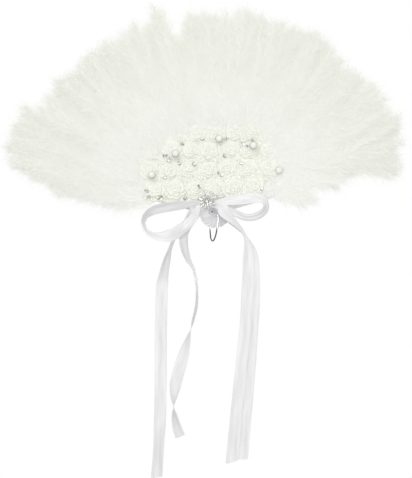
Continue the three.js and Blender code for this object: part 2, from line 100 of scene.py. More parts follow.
class Nodes:
    # the node tree of a material or of the world
    def __init__(self, tree):
        self.tree = tree

    def add(self, kind, settings={}, sockets={}, output=0):
        node = self.tree.nodes.new(kind)
        for key, value in settings.items():
            setattr(node, key, value)
        self.fill(node, sockets)
        return Wire(self.tree, node.outputs[output])

    def fill(self, node, sockets):
        for key, value in sockets.items():
            if isinstance(value, Wire):
                self.tree.links.new(value.socket, node.inputs[key])
            else:
                node.inputs[key].default_value = value

    def mixColour(self, factor, first, second):
        return self.add("ShaderNodeMix", {"data_type": "RGBA"}, {0: factor, 6: first, 7: second}, 2)

    def noise(self, vector, scale, detail=2.0, roughness=0.5):
        sockets = {"Vector": vector, "Scale": scale, "Detail": detail, "Roughness": roughness}
        return self.add("ShaderNodeTexNoise", {}, sockets)

    def ramp(self, value, low, high, smooth=True, start=0.0):
        # climbs from start, where the value is low, to 1, where it is high
        settings = {"interpolation_type": "SMOOTHSTEP" if smooth else "LINEAR"}
        sockets = {"Value": value, "From Min": low, "From Max": high, "To Min": start}
        return self.add("ShaderNodeMapRange", settings, sockets)

    def bump(self, height, strength, distance):
        sockets = {"Height": height, "Strength": strength, "Distance": distance}
        return self.add("ShaderNodeBump", {}, sockets)

    def stretched(self, vector, scale):
        return self.add("ShaderNodeMapping", {}, {"Vector": vector, "Scale": scale})

    def place(self):
        return self.add("ShaderNodeTexCoord", {}, {}, "Object")

    def flatMap(self):
        return self.add("ShaderNodeUVMap", {"uv_map": "OFBake"})

    def parts(self, vector, output):
        return self.add("ShaderNodeSeparateXYZ", {}, {"Vector": vector}, output)


class Finish(Nodes):
    # a material; constants go on its shader's own sockets, and dress gives it what varies
    def __init__(self, name, constants):
        self.material = bpy.data.materials.new(name)
        self.material.use_nodes = True
        super().__init__(self.material.node_tree)
        self.shader = self.tree.nodes["Principled BSDF"]
        self.fill(self.shader, constants)

    def dress(self, tone, sockets={}, glow=0.0):
        # one colour for the surface and, where it glows, for its painted glow, an emission that lifts its
        # shade
        self.fill(self.shader, {"Base Color": tone, **sockets})
        if glow:
            self.fill(self.shader, {"Emission Color": tone, "Emission Strength": glow})
        return self.material


def colour(red, green, blue):
    # a colour as seen on screen, 0 to 255, turned to linear light
    seen = np.array([red, green, blue]) / 255
    linear = np.where(seen < 0.04045, seen / 12.92, ((seen + 0.055) / 1.055) ** 2.4)
    return (*linear.tolist(), 1.0)


def marabouFinish():
    # across the map is each barb's own tone, duller towards the end of its feather, and up the map
    # runs from the barb's root to its tip; the glow is painted light that stands in for light passed from
    # barb to barb in the down
    look = {"root": colour(245, 244.6, 243), "tip": colour(245, 245.6, 242.5), "dim": colour(239.5, 240, 235),
            "glow": 0.158}
    nodes = Finish("marabou", {"Roughness": 0.9})
    flat = nodes.flatMap()
    plain = nodes.mixColour(nodes.parts(flat, "Y") ** 0.7, look["root"], look["tip"])
    return nodes.dress(nodes.mixColour(nodes.parts(flat, "X"), plain, look["dim"]), glow=look["glow"])


def roseFinish():
    # cloudy ivory cloth with a fine weave; the glow is painted light that lifts the shade in the hollows of
    # the thin petals
    look = {"ivory": colour(243, 244, 237), "shade": colour(236, 237, 228), "cloud": 180, "weave": 1500,
            "glow": 0.16}
    nodes = Finish("roseCloth", {"Sheen Weight": 0.2})
    place = nodes.place()
    cloud = nodes.noise(place, look["cloud"], 3)
    thread = nodes.noise(nodes.stretched(place, (1, 1, 3)), look["weave"], 1)
    varying = {"Roughness": 0.62 + cloud * 0.25, "Normal": nodes.bump(thread, 0.25, 0.0003)}
    return nodes.dress(nodes.mixColour(cloud, look["ivory"], look["shade"]), varying, look["glow"])


def panelFinish():
    # threads across times threads up make the weave; the glow is painted light that lifts the shade on the
    # cloth between the roses
    look = {"ivory": colour(251, 251, 246), "shade": colour(245, 245, 237), "cloud": 60, "weave": 900,
            "glow": 0.15}
    nodes = Finish("panelCloth", {"Sheen Weight": 0.15})
    place = nodes.place()
    threads = {"Vector": place, "Scale": look["weave"], "Distortion": 1.5}
    warp, weft = (nodes.add("ShaderNodeTexWave", {"bands_direction": way}, threads) for way in "XZ")
    cloth = warp * weft
    worn = cloth * 0.6 + nodes.noise(place, look["cloud"]) * 0.4
    varying = {"Roughness": 0.95 - cloth * 0.2, "Normal": nodes.bump(cloth, 0.3, 0.0002)}
    return nodes.dress(nodes.mixColour(worn, look["shade"], look["ivory"]), varying, look["glow"])


def satinFinish():
    # the map's first side runs across the ribbon and the second along it
    # the glow is painted light that lifts the shade where the thin cloth turns from the light
    look = {"white": colour(251, 251, 251), "dull": colour(230, 230, 231), "edge": 0.045, "glow": 0.07,
            "broad": (2.8, 6, 1), "fine": (42, 5, 1), "thread": (210, 60, 1)}  # changes across and along
    nodes = Finish("whiteSatin", {"Specular IOR Level": 0.25})
    flat = nodes.flatMap()
    broad = nodes.noise(nodes.stretched(flat, look["broad"]), 1, 2)
    fine = nodes.noise(nodes.stretched(flat, look["fine"]), 1, 3, 0.6)
    thread = nodes.noise(nodes.stretched(flat, look["thread"]), 1, 1)
    # painted sheen and shade: random white and dull bands along the ribbon stand in for the satin's light and
    # dark streaks
    paintedStreak = nodes.ramp(broad * 0.86 + fine * 0.14, 0.32, 0.68, smooth=False)
    fromMiddle = nodes.add("ShaderNodeMath", {"operation": "ABSOLUTE"}, {0: nodes.parts(flat, "X") - 0.5})
    atEdge = {0: fromMiddle, 1: 0.5 - look["edge"]}
    selvedge = nodes.add("ShaderNodeMath", {"operation": "GREATER_THAN"}, atEdge)
    varying = {"Roughness": 0.32 + paintedStreak * 0.16 + selvedge * 0.1,
               "Normal": nodes.bump(thread * 0.6 + fine * 0.4, 0.14, 0.0002)}
    tone = nodes.mixColour(paintedStreak * 0.9 + selvedge * 0.1, look["white"], look["dull"])
    return nodes.dress(tone, varying, look["glow"])


def pearlFinish():
    # up the map runs from the back of a bead to its front; the sides are painted darker than the front as
    # painted shade round the rim, and the glow is painted light
    look = {"cream": colour(253, 253, 249), "shade": colour(248, 247, 240), "side": colour(206, 201, 184),
            "rimShadeFrom": 0.97, "rimShadeTo": 0.52, "glow": 0.05}
    nodes = Finish("pearlLustre", {"Roughness": 0.35, "Specular IOR Level": 0.35, "Coat Weight": 0.3,
                                   "Coat Roughness": 0.1})
    place = nodes.place()
    front = nodes.mixColour(nodes.noise(place, 240, 4), look["cream"], look["shade"])
    # painted shade: the bead darkens from its front towards its sides
    paintedRimShade = nodes.ramp(nodes.parts(nodes.flatMap(), "Y"), look["rimShadeFrom"], look["rimShadeTo"])
    varying = {"Normal": nodes.bump(nodes.noise(place, 1400, 2), 0.04, 0.0002)}
    return nodes.dress(nodes.mixColour(paintedRimShade, front, look["side"]), varying, look["glow"])


def plasticFinish():
    # milky plastic, painted greyer towards the back of the stack as shade on the sticks that lie behind;
    # depth in metres, and the glow is painted light that lifts the shade on the stack
    look = {"pale": colour(244, 244, 246), "grey": colour(187, 187, 189), "depth": 0.0066, "glow": 0.08}
    nodes = Finish("mouldedPlastic", {"Specular IOR Level": 0.45})
    place = nodes.place()
    flow = nodes.noise(place, 45, 3)
    # painted shade: sticks further back in the stack are greyer
    paintedShadeBehind = nodes.ramp(nodes.parts(place, "Y"), -look["depth"], look["depth"], smooth=False)
    tone = nodes.mixColour(paintedShadeBehind ** 2 * 0.75 + flow * 0.25, look["pale"], look["grey"])
    grain = nodes.bump(nodes.noise(place, 2200, 2), 0.08, 0.0002)
    return nodes.dress(tone, {"Roughness": 0.36 + flow * 0.16, "Normal": grain}, look["glow"])


def bailFinish():
    # bright plating, painted greyer and made duller near the rivet as painted shade from the bow over the
    # head, that has worn to bare dark wire round the bottom of the loop; the heights are in metres
    look = {"bright": colour(250, 250, 250), "bare": colour(84, 84, 86), "dull": colour(196, 196, 199),
            "bareFrom": -0.0155, "bareTo": -0.0205, "rivetShadeFrom": -0.0045, "rivetShadeTo": -0.0015}
    nodes = Finish("wornAndShadedPlating", {"Metallic": 1.0})
    place = nodes.place()
    height = nodes.parts(place, "Z")
    patch = nodes.noise(place, 500, 3)
    worn = nodes.ramp(height + patch * 0.004 - 0.002, look["bareFrom"], look["bareTo"])
    # painted shade: the plating turns grey towards the rivet, under the bow
    paintedShadeNearRivet = nodes.ramp(height, look["rivetShadeFrom"], look["rivetShadeTo"])
    plating = nodes.mixColour(paintedShadeNearRivet, look["bright"], look["dull"])
    varying = {"Roughness": 0.16 + patch * 0.15 + worn * 0.12 + paintedShadeNearRivet * 0.3,
               "Normal": nodes.bump(patch, 0.05, 0.0001)}
    return nodes.dress(nodes.mixColour(worn, plating, look["bare"]), varying)


def metalFinish(name, bright, dark, smooth):
    # tarnish in clouds and fine scratches
    nodes = Finish(name, {"Metallic": 1.0})
    place = nodes.place()
    scratch = nodes.noise(nodes.stretched(place, (1, 1, 6)), 900, 3)
    tarnish = nodes.noise(place, 420, 3)
    varying = {"Roughness": smooth + scratch * 0.16, "Normal": nodes.bump(scratch, 0.05, 0.0001)}
    return nodes.dress(nodes.mixColour(tarnish, bright, dark), varying)


def crystalFinish():
    # each small cell is as bright as a facet that catches the light or misses it
    look = {"bright": colour(252, 252, 250), "deep": colour(138, 138, 132), "cells": 1300.0}
    nodes = Finish("cutCrystal", {"Metallic": 0.85, "Coat Weight": 0.6})
    cells = {"Vector": nodes.place(), "Scale": look["cells"]}
    spark = nodes.parts(nodes.add("ShaderNodeTexVoronoi", {}, cells, "Color"), "X")
    tone = nodes.mixColour(spark ** 1.5, look["deep"], look["bright"])
    return nodes.dress(tone, {"Roughness": 0.04 + spark * 0.1})


finishes = {
    "marabou": marabouFinish(),
    "rose": roseFinish(),
    "panel": panelFinish(),
    "satin": satinFinish(),
    "pearl": pearlFinish(),
    "plastic": plasticFinish(),
    # the rivet's steel is toned down to the grey of the shaded head: painted shade for the bow's shadow there
    "steel": metalFinish("polishedSteel", colour(212, 212, 215), colour(188, 189, 192), 0.46),
    "bail": bailFinish(),
    "silver": metalFinish("darkSilver", colour(222, 221, 219), colour(128, 126, 123), 0.2),
    "crystal": crystalFinish(),
}
print("finishes:", len(finishes))


def polar(reach, angle, height):
    # points at a reach and an angle round the z axis
    return np.stack(np.broadcast_arrays(reach * np.cos(angle), reach * np.sin(angle), height), -1)


def lattice(first, second):
    # every pair of the two, as two arrays
    return np.meshgrid(first, second, indexing="ij")


def roundTurns(count):
    # equal angles round one full turn
    return np.arange(count) * 2 * np.pi / count


def mapPoints(across, up):
    # one map point for each vertex
    return np.stack(np.broadcast_arrays(across, up), -1).reshape(-1, 2)


def tilted(points, tip, turn):
    # points leaned by tip about x and then turned about z
    x, y, z = np.moveaxis(points, -1, 0)
    c, s = np.cos(tip), np.sin(tip)
    y, z = y * c - z * s, y * s + z * c
    c, s = np.cos(turn), np.sin(turn)
    return np.stack([x * c - y * s, x * s + y * c, z], -1)


def turned(points, degrees):
    # points drawn along +y, turned to lie along an angle from the right-hand side
    return tilted(points, 0, np.radians(degrees - 90))


def bent(start, control, end, count):
    # one quadratic curve, without its first point
    t = np.linspace(0, 1, count + 1)[1:, None]
    return (1 - t) ** 2 * np.array(start) + 2 * t * (1 - t) * np.array(control) + t ** 2 * np.array(end)


def splineThrough(spots, count):
    # a smooth line through the spots: the slope at each comes from its neighbours, weighted by the
    # square root of their distances
    spots = np.asarray(spots, float)
    line = np.vstack([2 * spots[0] - spots[1], spots, 2 * spots[-1] - spots[-2]])
    where = np.linspace(0, len(spots) - 1, count)
    span = np.minimum(where.astype(int), len(spots) - 2)
    t = (where - span)[:, None]
    before, start, end, after = (line[span + k] for k in range(4))
    gap = np.linalg.norm(np.diff(line, axis=0), axis=1) ** 0.5
    middle = np.where(gap[span + 1] < 1e-4, 1.0, gap[span + 1])[:, None]
    first, last = (np.where(gap[span + k] < 1e-4, middle[:, 0], gap[span + k])[:, None] for k in (0, 2))
    leave = ((start - before) / first - (end - before) / (first + middle) + (end - start) / middle) * middle
    reach = ((end - start) / middle - (after - start) / (middle + last) + (after - end) / last) * middle
    return (start + leave * t + (3 * (end - start) - 2 * leave - reach) * t ** 2
            + (2 * (start - end) + leave + reach) * t ** 3)


def gridFaces(rows, columns, wrap=False):
    # quads between neighbouring points of a grid; wrap joins the last column to the first
    down, over = lattice(np.arange(rows - 1), np.arange(columns - (not wrap)))
    nextOver = (over + 1) % columns
    low, high = down * columns, (down + 1) * columns
    return np.stack([low + over, low + nextOver, high + nextOver, high + over], -1).reshape(-1, 4)


def gridSurface(points):
    # a sheet through a grid of points
    return points.reshape(-1, 3), [gridFaces(*points.shape[:2])]


def joined(surfaces):
    # several (points, faces) as one: face numbers move on by the points before them
    starts = np.cumsum([0] + [len(points) for points, _ in surfaces[:-1]])
    points = np.concatenate([points for points, _ in surfaces])
    faces = [face + start for (_, group), start in zip(surfaces, starts) for face in group]
    return points, faces


def spun(profile, sides):
    # a profile of (radius, height) turned round the z axis, back to front, with a point at each end
    # whose radius is 0
    profile = np.asarray(profile, float)
    rings = profile[profile[:, 0] > 0]
    column = np.arange(sides)
    following = (column + 1) % sides
    last = (len(rings) - 1) * sides
    points = polar(rings[:, :1], roundTurns(sides), rings[:, 1:]).reshape(-1, 3)
    faces = [gridFaces(len(rings), sides, wrap=True)]
    for end, edge in ((0, (following, column)), (-1, (last + column, last + following))):
        if profile[end, 0] == 0:
            pole = np.full(sides, len(points))
            points = np.vstack([points, [0, 0, profile[end, 1]]])
            faces.append(np.stack([pole, *edge] if end == 0 else [*edge, pole], -1))
    return points, faces


def tube(rings, inward=False):
    # rings of points joined one to the next, with a point in the middle of each end;
    # inward is for rings that turn the other way
    rows, columns = rings.shape[:2]
    column = np.arange(columns)
    following = (column + 1) % columns
    last = (rows - 1) * columns
    pole = np.full(columns, rows * columns)
    faces = [gridFaces(rows, columns, wrap=True), np.stack([pole, following, column], -1),
             np.stack([last + column, last + following, pole + 1], -1)]
    points = np.vstack([rings.reshape(-1, 3), rings[0].mean(0), rings[-1].mean(0)])
    return points, [group[:, ::-1] for group in faces] if inward else faces


def wireSurface(route, radius, sides, inside):
    # a round section carried along the route; its first direction points away from the point inside
    along = unit(np.gradient(route, axis=0))
    outward = route - inside
    outward = unit(outward - (outward * along).sum(1, keepdims=True) * along)
    aside = np.cross(along, outward)
    turn = roundTurns(sides)[None, :, None]
    return tube(route[:, None] + radius * (np.cos(turn) * outward[:, None] + np.sin(turn) * aside[:, None]))


def addPiece(name, surface, finish, body="fan", replaces=(), flat=None, smooth=True):
    # faces is a list of arrays, each of triangles or of quads; flat is one map point for each vertex
    points, faces = surface
    mesh = bpy.data.meshes.new(name)
    corners = np.concatenate([group.ravel() for group in faces]).astype(np.int32)
    sizes = np.concatenate([np.full(len(group), group.shape[1]) for group in faces])
    mesh.vertices.add(len(points))
    mesh.vertices.foreach_set("co", toWorld(np.asarray(points)).astype(np.float32).ravel())
    mesh.loops.add(len(corners))
    mesh.loops.foreach_set("vertex_index", corners)
    mesh.polygons.add(len(sizes))
    mesh.polygons.foreach_set("loop_start", (np.cumsum(sizes) - sizes).astype(np.int32))
    mesh.polygons.foreach_set("use_smooth", np.full(len(sizes), smooth))
    if flat is not None:
        layer = mesh.uv_layers.new(name="OFBake")
        layer.data.foreach_set("uv", np.asarray(flat)[corners].astype(np.float32).ravel())
    mesh.update(calc_edges=True)
    mesh.materials.append(finishes[finish])
    piece = bpy.data.objects.new(name, mesh)
    bpy.context.scene.collection.objects.link(piece)
    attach(piece, body)
    if replaces:
        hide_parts(*replaces)
    return piece


def thicken(piece, thickness, offset=0):
    # gives a sheet of cloth its thickness in millimetres
    wall = piece.modifiers.new("cloth", "SOLIDIFY")
    wall.thickness = thickness / 1000
    wall.offset = offset


view = {"pixel": 1.06, "width": 412, "height": 478, "rivet": (212, 212), "lens": 100, "sensor": 36}


def addCamera():
    # stands straight in front, at the distance where the picture's height fills the sensor
    data = bpy.data.cameras.new("camera")
    data.lens = view["lens"]
    data.sensor_width = view["sensor"]
    tall = view["height"] * view["pixel"] / 1000
    distance = tall * view["lens"] / view["sensor"]
    camera = bpy.data.objects.new("camera", data)
    across = (view["width"] / 2 - view["rivet"][0]) * view["pixel"] / 1000
    up = (view["rivet"][1] - view["height"] / 2) * view["pixel"] / 1000
    camera.location = (across, -distance, up)
    camera.rotation_euler = (np.pi / 2, 0, 0)
    bpy.context.scene.collection.objects.link(camera)
    bpy.context.scene.camera = camera


# place, aim, size and power, in metres and watts
lamps = {
    "keyLamp": ((-0.45, -2.1, 0.9), (0, 0, 0.02), 1.0, 15.5),
    "frontLamp": ((0.2, -2.1, 0.05), (0, 0, -0.03), 0.7, 6),
    "topLamp": ((0.3, -0.2, 1.9), (0, 0, 0), 1.2, 3),
    "backLamp": ((0.5, 2.0, 0.5), (0, 0, 0.05), 1.5, 14),
}


def addLamp(name, place, aim, size, power):
    # a round lamp turned towards its aim
    data = bpy.data.lights.new(name, "AREA")
    data.shape = "DISK"
    data.size = size
    data.energy = power
    lamp = bpy.data.objects.new(name, data)
    lamp.location = place
    direction = Vector(aim) - Vector(place)
    lamp.rotation_euler = direction.to_track_quat("-Z", "Y").to_euler()
    bpy.context.scene.collection.objects.link(lamp)


room = {"ambient": 0.48, "floorHeight": -0.335, "floorReach": 1.6, "floorGlow": 0.62,
        "fadeWide": 0.42, "fadeDeep": 0.27, "fadeFrom": 0.3}


def roomLight(nodes):
    # white for rays that reach the eye straight, by a mirror or through glass, and softer for the rest
    rays = [nodes.add("ShaderNodeLightPath", {}, {}, f"Is {kind} Ray")
            for kind in ("Camera", "Glossy", "Transmission")]
    seen = 1 - (1 - rays[0]) * (1 - rays[1]) * (1 - rays[2])
    return room["ambient"] + seen * (1 - room["ambient"])


def floorFinish():
    # takes the shadow near the fan and fades to the white of the room further out
    nodes = Finish("paleFloor", {"Base Color": (0.9, 0.9, 0.9, 1)})
    place = nodes.place()
    wide = nodes.parts(place, "X") / room["fadeWide"]
    deep = nodes.parts(place, "Y") / room["fadeDeep"]
    away = (wide * wide + deep * deep) ** 0.5
    fade = nodes.ramp(away, room["fadeFrom"], 1.0, start=room["floorGlow"])
    nodes.fill(nodes.shader, {"Roughness": 0.85 + nodes.noise(place, 300) * 0.1})
    glow = nodes.add("ShaderNodeEmission", {}, {"Strength": roomLight(nodes)})
    both = nodes.add("ShaderNodeMixShader", {}, {0: fade, 2: glow})
    nodes.tree.links.new(nodes.shader.outputs[0], both.socket.node.inputs[1])
    nodes.fill(nodes.tree.nodes["Material Output"], {"Surface": both})
    return nodes.material


def addRoom():
    # white all round, with a pale floor under the fan
    scene = bpy.context.scene
    scene.view_settings.view_transform = "Standard"
    scene.world = bpy.data.worlds.new("paleRoom")
    scene.world.use_nodes = True
    nodes = Nodes(scene.world.node_tree)
    background = scene.world.node_tree.nodes["Background"]
    nodes.fill(background, {"Color": (1, 1, 1, 1), "Strength": roomLight(nodes)})
    size = room["floorReach"]
    corners = np.array([[-size, -size], [size, -size], [size, size], [-size, size]])
    points = np.column_stack([corners, np.full(4, room["floorHeight"])])
    mesh = bpy.data.meshes.new("floor")
    mesh.from_pydata(points.tolist(), [], [(0, 1, 2, 3)])
    mesh.materials.append(floorFinish())
    floor = bpy.data.objects.new("floor", mesh)
    scene.collection.objects.link(floor)


addCamera()
for name, lamp in lamps.items():
    addLamp(name, *lamp)
addRoom()
print("camera, lamps and room")


sticks = {
    "count": 10, "leftAngle": 164, "rightAngle": 18,
    "stave": 0.9, "guard": 1.3, "gap": 0.3,
    "rearTail": 20.5, "frontTail": 13, "tailRadius": 5.2,
    "neck": 8.6, "neckRise": 9, "gorge": 12, "gorgeReach": 80, "shoulder": 7,
    "rib": 4, "ribTip": 3, "ribReach": 152,
    "edge": 0.28,  # rounding of the moulded edges
    "grip": (24, 70, 6, 0.5),  # start, end, width and height of the flat on the back of the rear guard
    "gripSeat": 0.2,  # how far that flat runs into the guard
}
sticks["step"] = (sticks["leftAngle"] - sticks["rightAngle"]) / (sticks["count"] - 1)
sticks["pitch"] = sticks["stave"] + sticks["gap"]
sticks["half"] = sticks["guard"] + (sticks["pitch"] * (sticks["count"] - 2) + sticks["gap"]) / 2
stickNodes = ["rear_guard"] + [f"stave_{k}" for k in range(1, sticks["count"] - 1)] + ["front_guard"]


def isGuard(k):
    return k in (0, sticks["count"] - 1)


def stickAngle(k):
    return sticks["leftAngle"] - sticks["step"] * k


def stickThickness(k):
    return sticks["guard"] if isGuard(k) else sticks["stave"]


def stickBack(k):
    # depth of a stick's back: the rear guard lies lowest and the others climb by one pitch each
    if k == 0:
        return -sticks["half"]
    return sticks["guard"] + sticks["gap"] + sticks["pitch"] * (k - 1) - sticks["half"]


def stickOutline(k):
    # (half width, height) from the round tail up to the rib's tip; the arcs stop just short of the middle
    share = k / (sticks["count"] - 1)
    tail = sticks["rearTail"] + (sticks["frontTail"] - sticks["rearTail"]) * share
    radius = sticks["tailRadius"]
    middle = radius - tail
    neck, gorge, rib, tip = (sticks[key] / 2 for key in ("neck", "gorge", "rib", "ribTip"))
    rise, top = sticks["neckRise"], sticks["gorgeReach"]
    shoulder = top - sticks["shoulder"]
    q = np.linspace(0.06, np.pi / 2, 14)
    end = np.linspace(0, np.pi / 2 - 0.06, 8)
    return np.vstack([
        np.column_stack([radius * np.sin(q), middle - radius * np.cos(q)]),
        bent((radius, middle), (neck, 0), (neck, rise), 9),
        bent((neck, rise), (neck, (rise + shoulder) / 2), (gorge, shoulder), 14),
        bent((gorge, shoulder), (gorge, top), (rib, top), 10),
        np.column_stack([tip * np.cos(end), sticks["ribReach"] - tip + tip * np.sin(end)]),
    ])


def slab(outline, back, thickness):
    # a flat bar of changing width: twelve points round each station, given by side and height, and
    # drawn in at the long edges to round them
    half = outline[:, :1]
    inset = np.array([0, 1, 0, 0, 1, 0, 0, 1, 0, 0, 1, 0]) * np.minimum(sticks["edge"], 0.5 * half)
    side = np.array([1, 1, 0.4, -0.4, -1, -1, -1, -1, -0.4, 0.4, 1, 1])
    high = np.array([0.72, 1, 1, 1, 1, 0.72, 0.28, 0, 0, 0, 0, 0.28])
    across = side * half - np.sign(side) * inset
    rings = np.stack(np.broadcast_arrays(across, outline[:, 1:], back + high * thickness), -1)
    return tube(rings, inward=True)


def stickSurface(k):
    # one bar, and on the back of the rear guard a raised flat with round ends
    bars = [slab(stickOutline(k), stickBack(k), stickThickness(k))]
    if k == 0:
        start, end, width, height = sticks["grip"]
        q = np.linspace(0.08, np.pi / 2, 8)
        low = np.column_stack([np.sin(q), 1 - np.cos(q)]) * width / 2 + [0, start]
        high = np.column_stack([np.sin(q), np.cos(q) - 1])[::-1] * width / 2 + [0, end]
        bars.append(slab(np.vstack([low, high]), stickBack(k) - height, height + sticks["gripSeat"]))
    points, faces = joined(bars)
    return turned(points, stickAngle(k)), faces


for k, node in enumerate(stickNodes):
    addPiece(f"stick_{k + 1:02d}", stickSurface(k), "plastic", replaces=[node])
print("sticks:", len(stickNodes))


rivet = {"radius": 1.7, "bore": 1.05, "head": 3.4, "thickness": 0.8, "undercut": 0.1}
rivet["half"] = sticks["half"] + sticks["gap"]
rivet["front"] = rivet["half"] + rivet["thickness"]


def rivetSurface():
    # a tube whose two heads are rolled over: the profile runs round each head as a half ellipse
    q = np.linspace(0, np.pi, 9)
    bulge = (rivet["head"] - rivet["bore"]) / 2
    centre = rivet["bore"] + bulge
    rise = rivet["half"] + rivet["thickness"] * np.sin(q) ** 0.7
    roll = np.column_stack([centre - bulge * np.cos(q), rise])
    roll[-1] = [rivet["head"] - rivet["undercut"], rivet["half"]]
    back = roll * [1, -1]
    barrel = [[rivet["radius"], -rivet["half"]], [rivet["radius"], rivet["half"]]]
    return spun(np.vstack([back, barrel, roll[::-1], back[:1]]), 40)


bail = {"wire": 0.7, "drop": 30.7, "frontShoulder": 6.4, "rearShoulder": 2.6, "insert": 3.5}


def bailRoute():
    # out of the bore, over the head, down beside it, round the bottom and back up behind
    deep = rivet["front"] + sticks["gap"] + bail["wire"]
    bend = 2 * bail["wire"]
    drop = bail["drop"]

    def leg(shoulder, side):
        # one side of the loop, from the bore to near the bottom
        return [
            (0, 0, side * (rivet["front"] - bail["insert"])),
            (0, 0, side * (deep - bend)),
            (side * bend / 2, -bend / 4, side * (deep - bend / 6)),
            (shoulder * 0.75, -drop * 0.05, side * deep),
            (shoulder, -drop * 0.2, side * deep),
            (shoulder * 0.86, -drop * 0.48, side * deep * 0.98),
            (shoulder * 0.67, -drop * 0.75, side * deep * 0.78),
            (shoulder * 0.37, -drop * 0.94, side * deep * 0.42),
        ]

    bottom = ((bail["frontShoulder"] - bail["rearShoulder"]) * 0.2, -drop, 0)
    rear = leg(-bail["rearShoulder"], -1)[::-1]
    return splineThrough(leg(bail["frontShoulder"], 1) + [bottom] + rear, 150)


addPiece("rivet_tube", rivetSurface(), "steel", replaces=["rivet"])
loopMiddle = np.array([0, -bail["drop"] / 2, 0])
bailSurface = wireSurface(bailRoute(), bail["wire"], 14, loopMiddle)
addPiece("bail_wire", bailSurface, "bail", "bail", ["bail"])
print("rivet and bail")


panel = {
    "inner": 20, "outer": 95.8, "left": 169, "right": 16.5, "thickness": 0.8, "cloth": 0.5,
    "tuck": 26, "tuckReach": 35,  # the right edge turns in by this angle towards the inner corner
    "hem": 2.2, "hemRise": 0.16, "sag": 0.12, "sags": 36,  # sags counts the waves in a full turn
    "columns": 97, "rows": 40,
    "flat": (0.19, 0.098),  # sides of the cloth before it is cut to the half disc, in metres
}
panel["depth"] = panel["outer"] - panel["inner"]


def panelBack(reach, degrees):
    # the cloth climbs one pitch from stick to stick and clears the edge of each
    edge = np.degrees(np.arcsin(np.minimum(1, sticks["gorge"] / 2 / reach)))
    passed = (sticks["leftAngle"] - degrees + edge) / sticks["step"]
    lift = sticks["guard"] - sticks["stave"] + sticks["gap"]
    return sticks["guard"] - sticks["half"] + passed * sticks["pitch"] + lift


def panelFront(x, y):
    # depth of the cloth's front at a place in the drawing
    return panelBack(np.hypot(x, y), np.degrees(np.arctan2(y, x))) + panel["thickness"]


def panelRight(reach):
    # angle of the right edge: it turns in with the square of the distance to the inner corner
    near = np.clip(1 - (reach - panel["inner"]) / panel["tuckReach"], 0, 1)
    return panel["right"] + panel["tuck"] * near ** 2


def panelSurface():
    # polar grid that sags between the sticks, with the outer and inner edge turned over as a thicker hem
    share, reach = lattice(np.linspace(0, 1, panel["columns"]),
                           np.linspace(panel["inner"], panel["outer"], panel["rows"]))
    degrees = panel["left"] + (panelRight(reach) - panel["left"]) * share
    angle = np.radians(degrees)
    fromInner = reach - panel["inner"]
    hem = panel["hemRise"] * (np.minimum(fromInner, panel["outer"] - reach) < panel["hem"])
    sag = panel["sag"] * np.sin(angle * panel["sags"]) * np.sin(fromInner * np.pi / panel["depth"])
    depth = panelBack(reach, degrees) + panel["thickness"] / 2 + hem + sag
    return gridSurface(polar(reach, angle, depth))


panelCloth = addPiece("panel_cloth", panelSurface(), "panel", replaces=["rose_panel"])
thicken(panelCloth, panel["cloth"])
print("panel")


roses = {
    "count": 24, "seed": 5, "across": 13, "up": 9,
    # petals in a ring, reach at the foot and at the rim, rise at both, half angle of a petal
    "rings": [
        (3, 0.7, 3.7, 2.0, 9.9, 74),
        (4, 1.1, 6.4, 1.6, 8.9, 62),
        (5, 1.6, 9.2, 1.0, 7.2, 52),
        (6, 2.0, 12.0, 0.6, 4.9, 45),
    ],
    "curl": 1.5, "curlFrom": 0.72, "ruffle": 0.55, "cloth": 0.24,
    "vary": 0.06, "shift": (1.6, 1.6, 0.3), "clear": 0.3,  # how roses differ, and their room above the panel
    # rings of the small blossoms that fill the gaps
    "blossom": [(4, 0.3, 2.4, 2.6, 7.8, 70), (5, 0.7, 4.6, 1.8, 6.8, 56), (6, 1.0, 7.0, 1.0, 5.0, 46)],
    # a blossom sits within the field, near three roses and clear of every one
    "field": ((-78, 66), (17, 96)), "near": 17.5, "apart": 9.5,
}


def petal(rng, turn, foot, rim, low, high, half):
    # a sheet from foot to rim: it leans out as it rises, rounds off at both corners, rolls over at
    # the rim and ripples along it
    a, b = lattice(np.linspace(-1, 1, roses["across"]), np.linspace(0, 1, roses["up"]))
    b = b * (1 - 0.2 * np.abs(a) ** 2.6)
    rim = rim * rng.uniform(0.9, 1.08)
    high = high * rng.uniform(0.88, 1.04)
    phase = rng.uniform(0, 6.3, 3)
    angle = turn + a * np.radians(half) * (0.72 + 0.28 * np.sin(np.pi * b))
    ripple = roses["ruffle"] * b ** 3 * np.sin(a * 5.2 + phase[0])
    over = np.clip(b - roses["curlFrom"], 0, 1) / (1 - roses["curlFrom"])
    reach = foot + (rim - foot) * b ** 1.15 + ripple + 0.35 * roses["curl"] * over ** 2
    rise = low + (high - low) * np.sin(b * np.pi / 2)
    rise = rise - roses["curl"] * over ** 2 * (0.6 + 0.4 * np.cos(3 * a + phase[1]))
    rise = rise + 0.5 * roses["ruffle"] * b ** 2 * np.sin(a * 3.4 + phase[2])
    return gridSurface(polar(reach, angle, rise))


def bud(rng):
    # a strip wound two and a half turns that leans in and closes over the middle
    turn, up = lattice(np.linspace(0, 5 * np.pi, 46), np.linspace(0, 1, 9))
    reach = (0.1 + 0.15 * turn) * (1 - 0.62 * up ** 3) + 0.12 * np.sin(turn * 3.3 + rng.uniform(0, 6)) * up
    rise = 3 + 7.2 * np.sin(up * np.pi / 2) - 0.05 * turn
    return gridSurface(polar(reach, turn + rng.uniform(0, 6.3), rise))


def roseSurface(rng, rings):
    # rings of petals, round a bud in a full rose
    sheets = [bud(rng)] if rings is roses["rings"] else []
    for count, *form in rings:
        start = rng.uniform(0, 6.3)
        turns = start + roundTurns(count) + rng.uniform(-0.14, 0.14, count)
        sheets += [petal(rng, turn, *form) for turn in turns]
    return joined(sheets)


